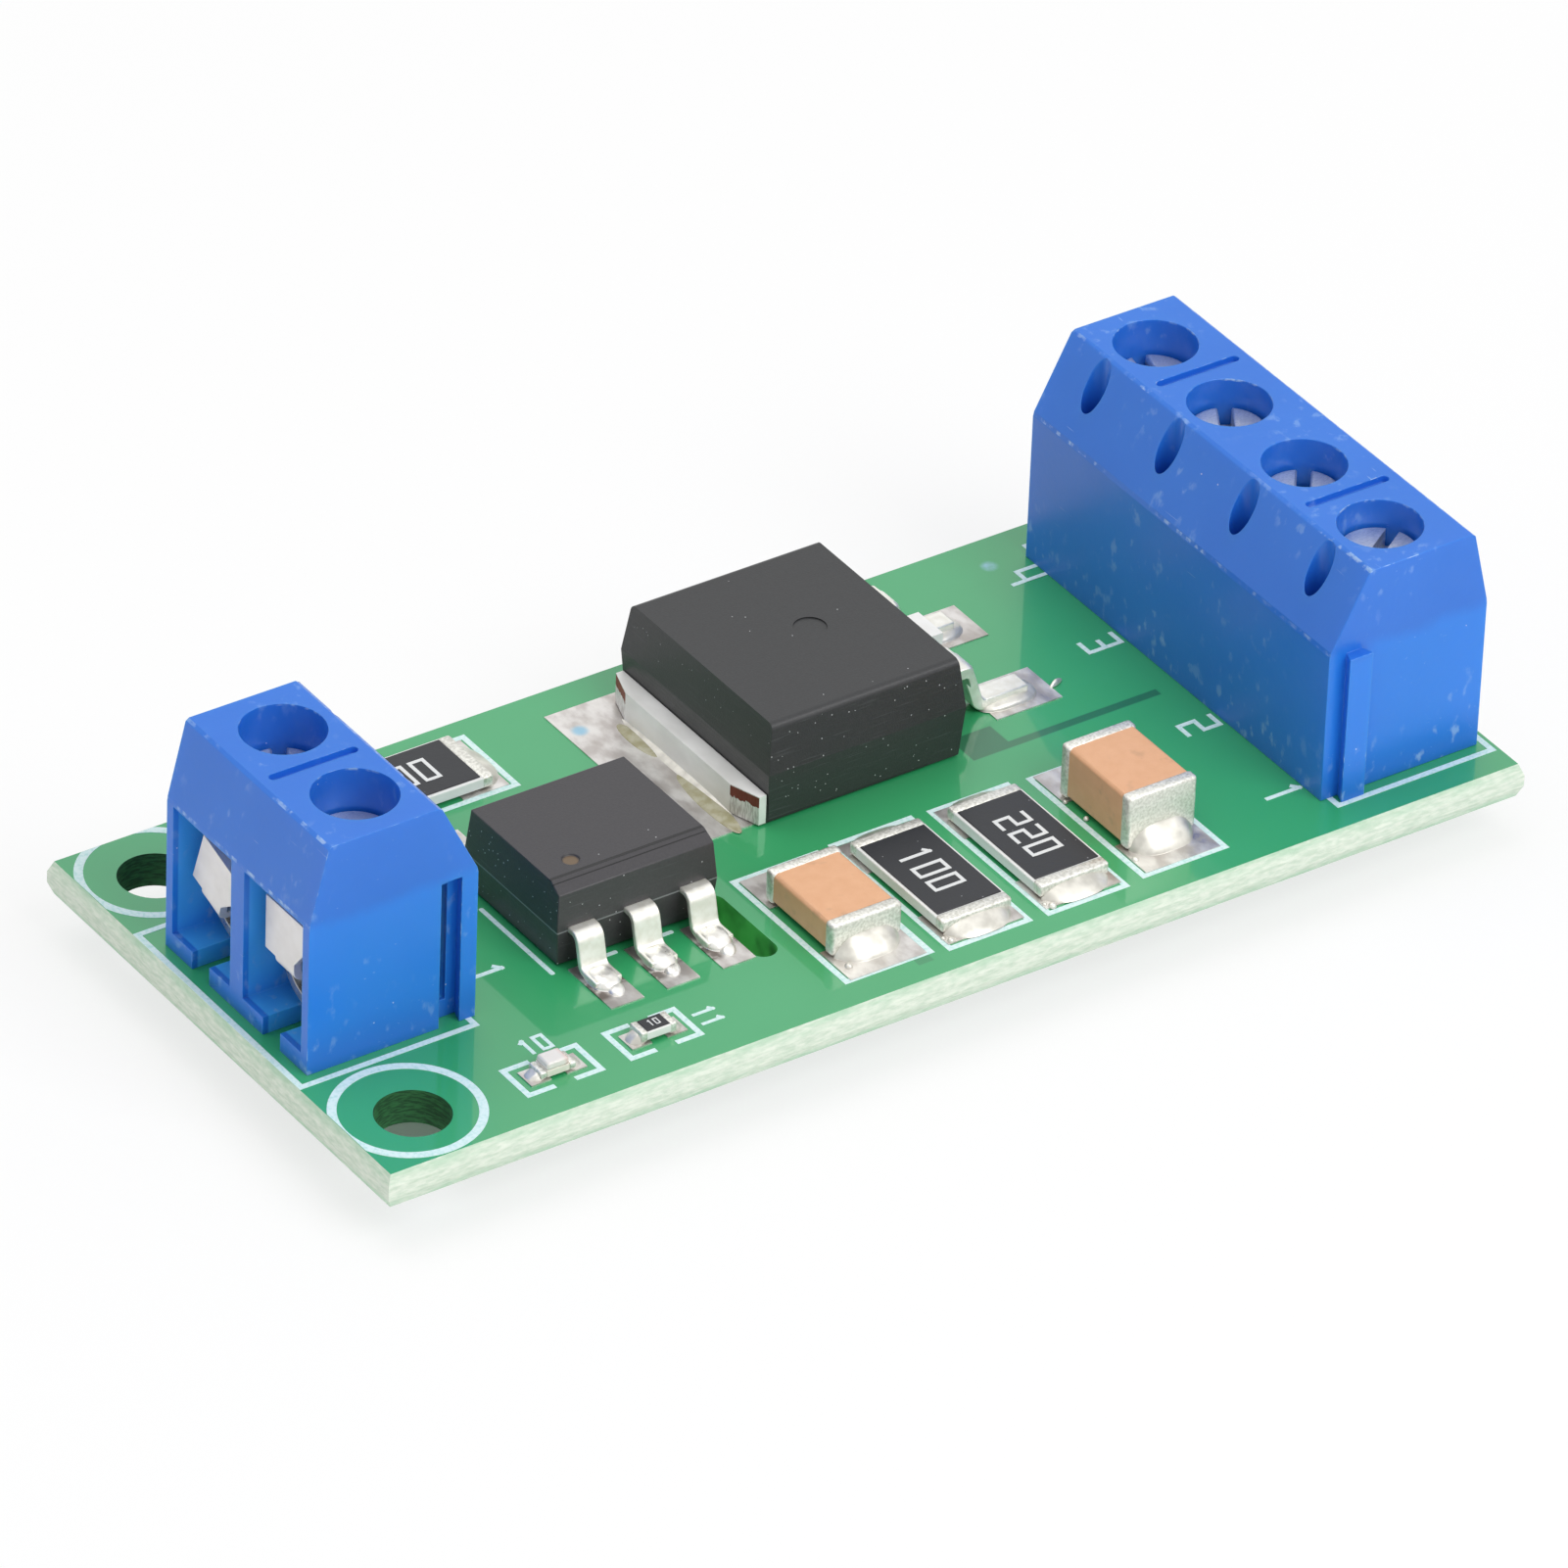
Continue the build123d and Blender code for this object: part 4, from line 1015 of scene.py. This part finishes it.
large, little = (1.5, 0.2), (0.85, 0.16)
board_numbers = [
    ("mains_number_1", "1", 17.0, -8.8, -90, *large),
    ("mains_number_2", "2", 16.9, -3.3, -90, *large),
    ("mains_number_3", "3", 16.9, 3.4, -90, *large),
    ("mains_number_4", "4", 17.1, 8.9, -90, *large),
    ("control_number_1", "1", -16.0, -2.9, -90, *large),
    ("control_number_2", "2", -16.0, 2.6, -90, *large),
    ("indicator_number", "10", -16.9, -7.75, 0, *little),
    ("small_resistor_number", "11", -10.3, -9.6, -90, *little),
]
for mark in board_numbers:
    number_mark(*mark, board_top, print_ink, "solder_mask")
print(len(board_numbers), "numbers on the board")

# %% [markdown]
# ## Codes on the chip resistors
# A chip resistor's code is printed on its glaze in white, with thin square digits.

# %% Resistor codes
code_ink = Finish("code_print", Roughness=0.5)
code_white = code_ink.mix(code_ink.noise(0.1, 3), ink(216, 218, 218), ink(240, 241, 240))
code_ink.feed("Base Color", code_white)
code_ink.bumps(code_ink.noise(0.08, 2), 0.004, 0.4)
codes = [("resistor_1", "100", -90, 1.3, 0.16), ("resistor_2", "220", -90, 1.3, 0.16),
         ("resistor_3", "100", 0, 1.3, 0.16), ("small_resistor", "10", 0, 0.34, 0.05)]
for chip, digits, turn, height, line in codes:
    seat, glaze_top = middle(chip + "_coat") / MM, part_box(chip + "_coat")[1].z
    number_mark(chip + "_code", digits, seat.x, seat.y, turn, height, line, glaze_top, code_ink,
                "resistor_coat")
print(len(codes), "codes")

# %% [markdown]
# ## Solder at the chips
# Molten solder climbs the end of a chip and freezes as a bright mound that is highest in the
# middle and hollow towards the land. Each mound starts as a sphere. A power on each axis
# squares its width up and hollows its slope, and it is cut flat at the chip and the land.

# %% Solder mounds
FILM = 0.3
land_seat = land_top - 0.01 * MM


def remould(shape, powers):
    """Changes a unit sphere by a power on each axis: under 1 is fuller, over 1 hollower."""
    for corner in shape.verts:
        corner.co = Vector([math.copysign(abs(side) ** power, side)
                            for side, power in zip(corner.co, powers)])


def cut_flat(shape, point, towards):
    """Cuts off what lies on one side of a plane and closes the cut."""
    cut = bmesh.ops.bisect_plane(shape, geom=everything(shape), plane_co=point,
                                 plane_no=towards, clear_outer=True)
    loop = [part for part in cut["geom_cut"] if isinstance(part, bmesh.types.BMEdge)]
    bmesh.ops.edgeloop_fill(shape, edges=loop)


def drop(foot, turn, sizes, powers, film=None):
    """A drop of solder on a foot, its sizes in millimetres, cut flat below.

    With a film it is also cut behind the foot, where it reaches that far under the part."""
    shape = bmesh.new()
    bmesh.ops.create_uvsphere(shape, u_segments=40, v_segments=24, radius=1)
    remould(shape, powers)
    bmesh.ops.scale(shape, vec=at(*sizes), verts=shape.verts)
    if film:
        cut_flat(shape, at(-film, 0), (-1, 0, 0))
    cut_flat(shape, (0, 0, 0), (0, 0, -1))
    turn_flat(shape, turn, shape.verts)
    bmesh.ops.translate(shape, verts=shape.verts, vec=foot)
    return shape


# For each chip its turn in degrees, and a mound's reach, half width and height in millimetres
chips = [("capacitor_1_end_caps", 90, 0.85, 1.5, 0.8),
         ("capacitor_2_end_caps", 90, 0.85, 1.5, 0.95),
         ("resistor_1_end_caps", 90, 0.8, 1.55, 0.46),
         ("resistor_2_end_caps", 90, 0.8, 1.55, 0.46),
         ("resistor_3_end_caps", 0, 0.8, 1.55, 0.46),
         ("small_resistor_end_caps", 0, 0.4, 0.42, 0.36),
         ("indicator_terminals", 0, 0.4, 0.42, 0.26)]
mounds = []
for node, turn, *sizes in chips:
    low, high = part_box(node)
    half = (high - low).y / 2 if turn else (high - low).x / 2
    for way in (turn, turn + 180):
        ahead = Vector((math.cos(math.radians(way)), math.sin(math.radians(way)), 0))
        foot = Vector(((low + high).x / 2, (low + high).y / 2, land_seat))
        foot += ahead * (half - 0.02 * MM)
        mounds.append(drop(foot, way, sizes, (1.8, 0.6, 1.5), FILM))
print(len(mounds), "mounds")
piece("chip_solder_mounds", gathered(mounds), solder, "board_assembly",
      ["chip_solder"], True)

# %% [markdown]
# ## Solder round the feet of the leads
# Round a lead's foot the solder is a low puddle that the foot stands in, so it is the same
# drop with a fuller form, and a crumb of it lies past the toe. Under the tab it shows only as
# a narrow fillet along the front.

# %% Puddles
puddles = []
for number in range(1, 7):
    low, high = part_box(f"optocoupler_lead_{number}")
    hand = -1 if (low + high).y / 2 < middle("optocoupler_body").y else 1
    toe = low.y if hand < 0 else high.y
    foot = Vector(((low + high).x / 2, toe - hand * 0.45 * MM, land_seat))
    puddles.append(drop(foot, 90, (0.8, 0.62, 0.42), (0.9, 0.75, 0.85)))
    puddles.append(drop(foot + at(0.1, hand * 0.75), 70, (0.5, 0.34, 0.2), (1, 0.9, 1)))
piece("opto_solder_puddles", gathered(puddles), foot_solder, "board_assembly",
      ["opto_solder"], True)

puddles = []
for number in (1, 2):
    low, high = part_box(f"thyristor_lead_{number}")
    foot = Vector((high.x - 0.85 * MM, (low + high).y / 2, land_seat))
    puddles.append(drop(foot, 0, (1.4, 0.85, 0.34), (0.75, 0.75, 0.9)))
tab_foot = Vector((tab_low.x + 0.02 * MM, (tab_low + tab_high).y / 2, land_seat))
puddles.append(drop(tab_foot, 180, (0.28, 3.9, 0.18), (1.6, 0.5, 1.4), FILM))
piece("thyristor_solder_puddles", gathered(puddles), solder, "board_assembly",
      ["thyristor_solder"], True)
print("puddles ready")

# %% [markdown]
# ## Loose solder and flux
# A board soldered by hand keeps small traces: beads of solder beside some joints, a spike on a
# land where the iron came away, and two pools of amber flux that set in front of the tab.

# %% Beads, spike and flux
def on_land(x, y):
    """A point in millimetres on the lands, sunk by a hair."""
    return at(x, y) + Vector((0, 0, land_seat))


bead_places = [(-3.97, -9.73, 0.17), (0.32, -10.33, 0.15), (4.94, -10.45, 0.17),
               (9.44, -9.57, 0.15), (9.37, -4.97, 0.1), (9.42, -6.32, 0.12),
               (4.75, -10.2, 0.1), (0.15, -10.05, 0.09)]
beads = [drop(on_land(x, y) - at(0, 0, 0.01), 0, (radius, radius, radius), (1, 1, 1))
         for x, y, radius in bead_places]
spike = drop(on_land(13.75, 1.95), 20, (0.4, 0.12, 0.2), (1.4, 1, 1.4))
print(len(beads), "beads and a spike")
piece("solder_beads", gathered([*beads, spike]), solder, "board_assembly", smooth=True)

flux = Finish("amber_flux", Roughness=0.2, Transmission_Weight=0.35, IOR=1.5, Coat_Weight=0.3)
amber = flux.mix(flux.noise(0.5, 4).rise(0.35, 0.65), ink(186, 180, 140), ink(216, 212, 184))
flux.feed("Base Color", amber)
flux.bumps(flux.noise(0.6, 3), 0.03, 0.6)
pools = [drop(on_land(-2.42, 7.1), 92, (1.35, 0.36, 0.09), (1.1, 0.9, 1)),
         drop(on_land(-2.45, 2.1), 88, (2.3, 0.42, 0.1), (1.1, 0.9, 1))]
print(len(pools), "pools of flux")
piece("flux_pools", gathered(pools), flux, "board_assembly", smooth=True)

# %% [markdown]
# ## The end
# The box of the dressed part is written beside the CAD box, so that the two can be compared:
# dressing never makes the part bigger.

# %% Sizes and finish
low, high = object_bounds()
print("visual box in mm:", [round(side / MM, 2) for side in high - low])
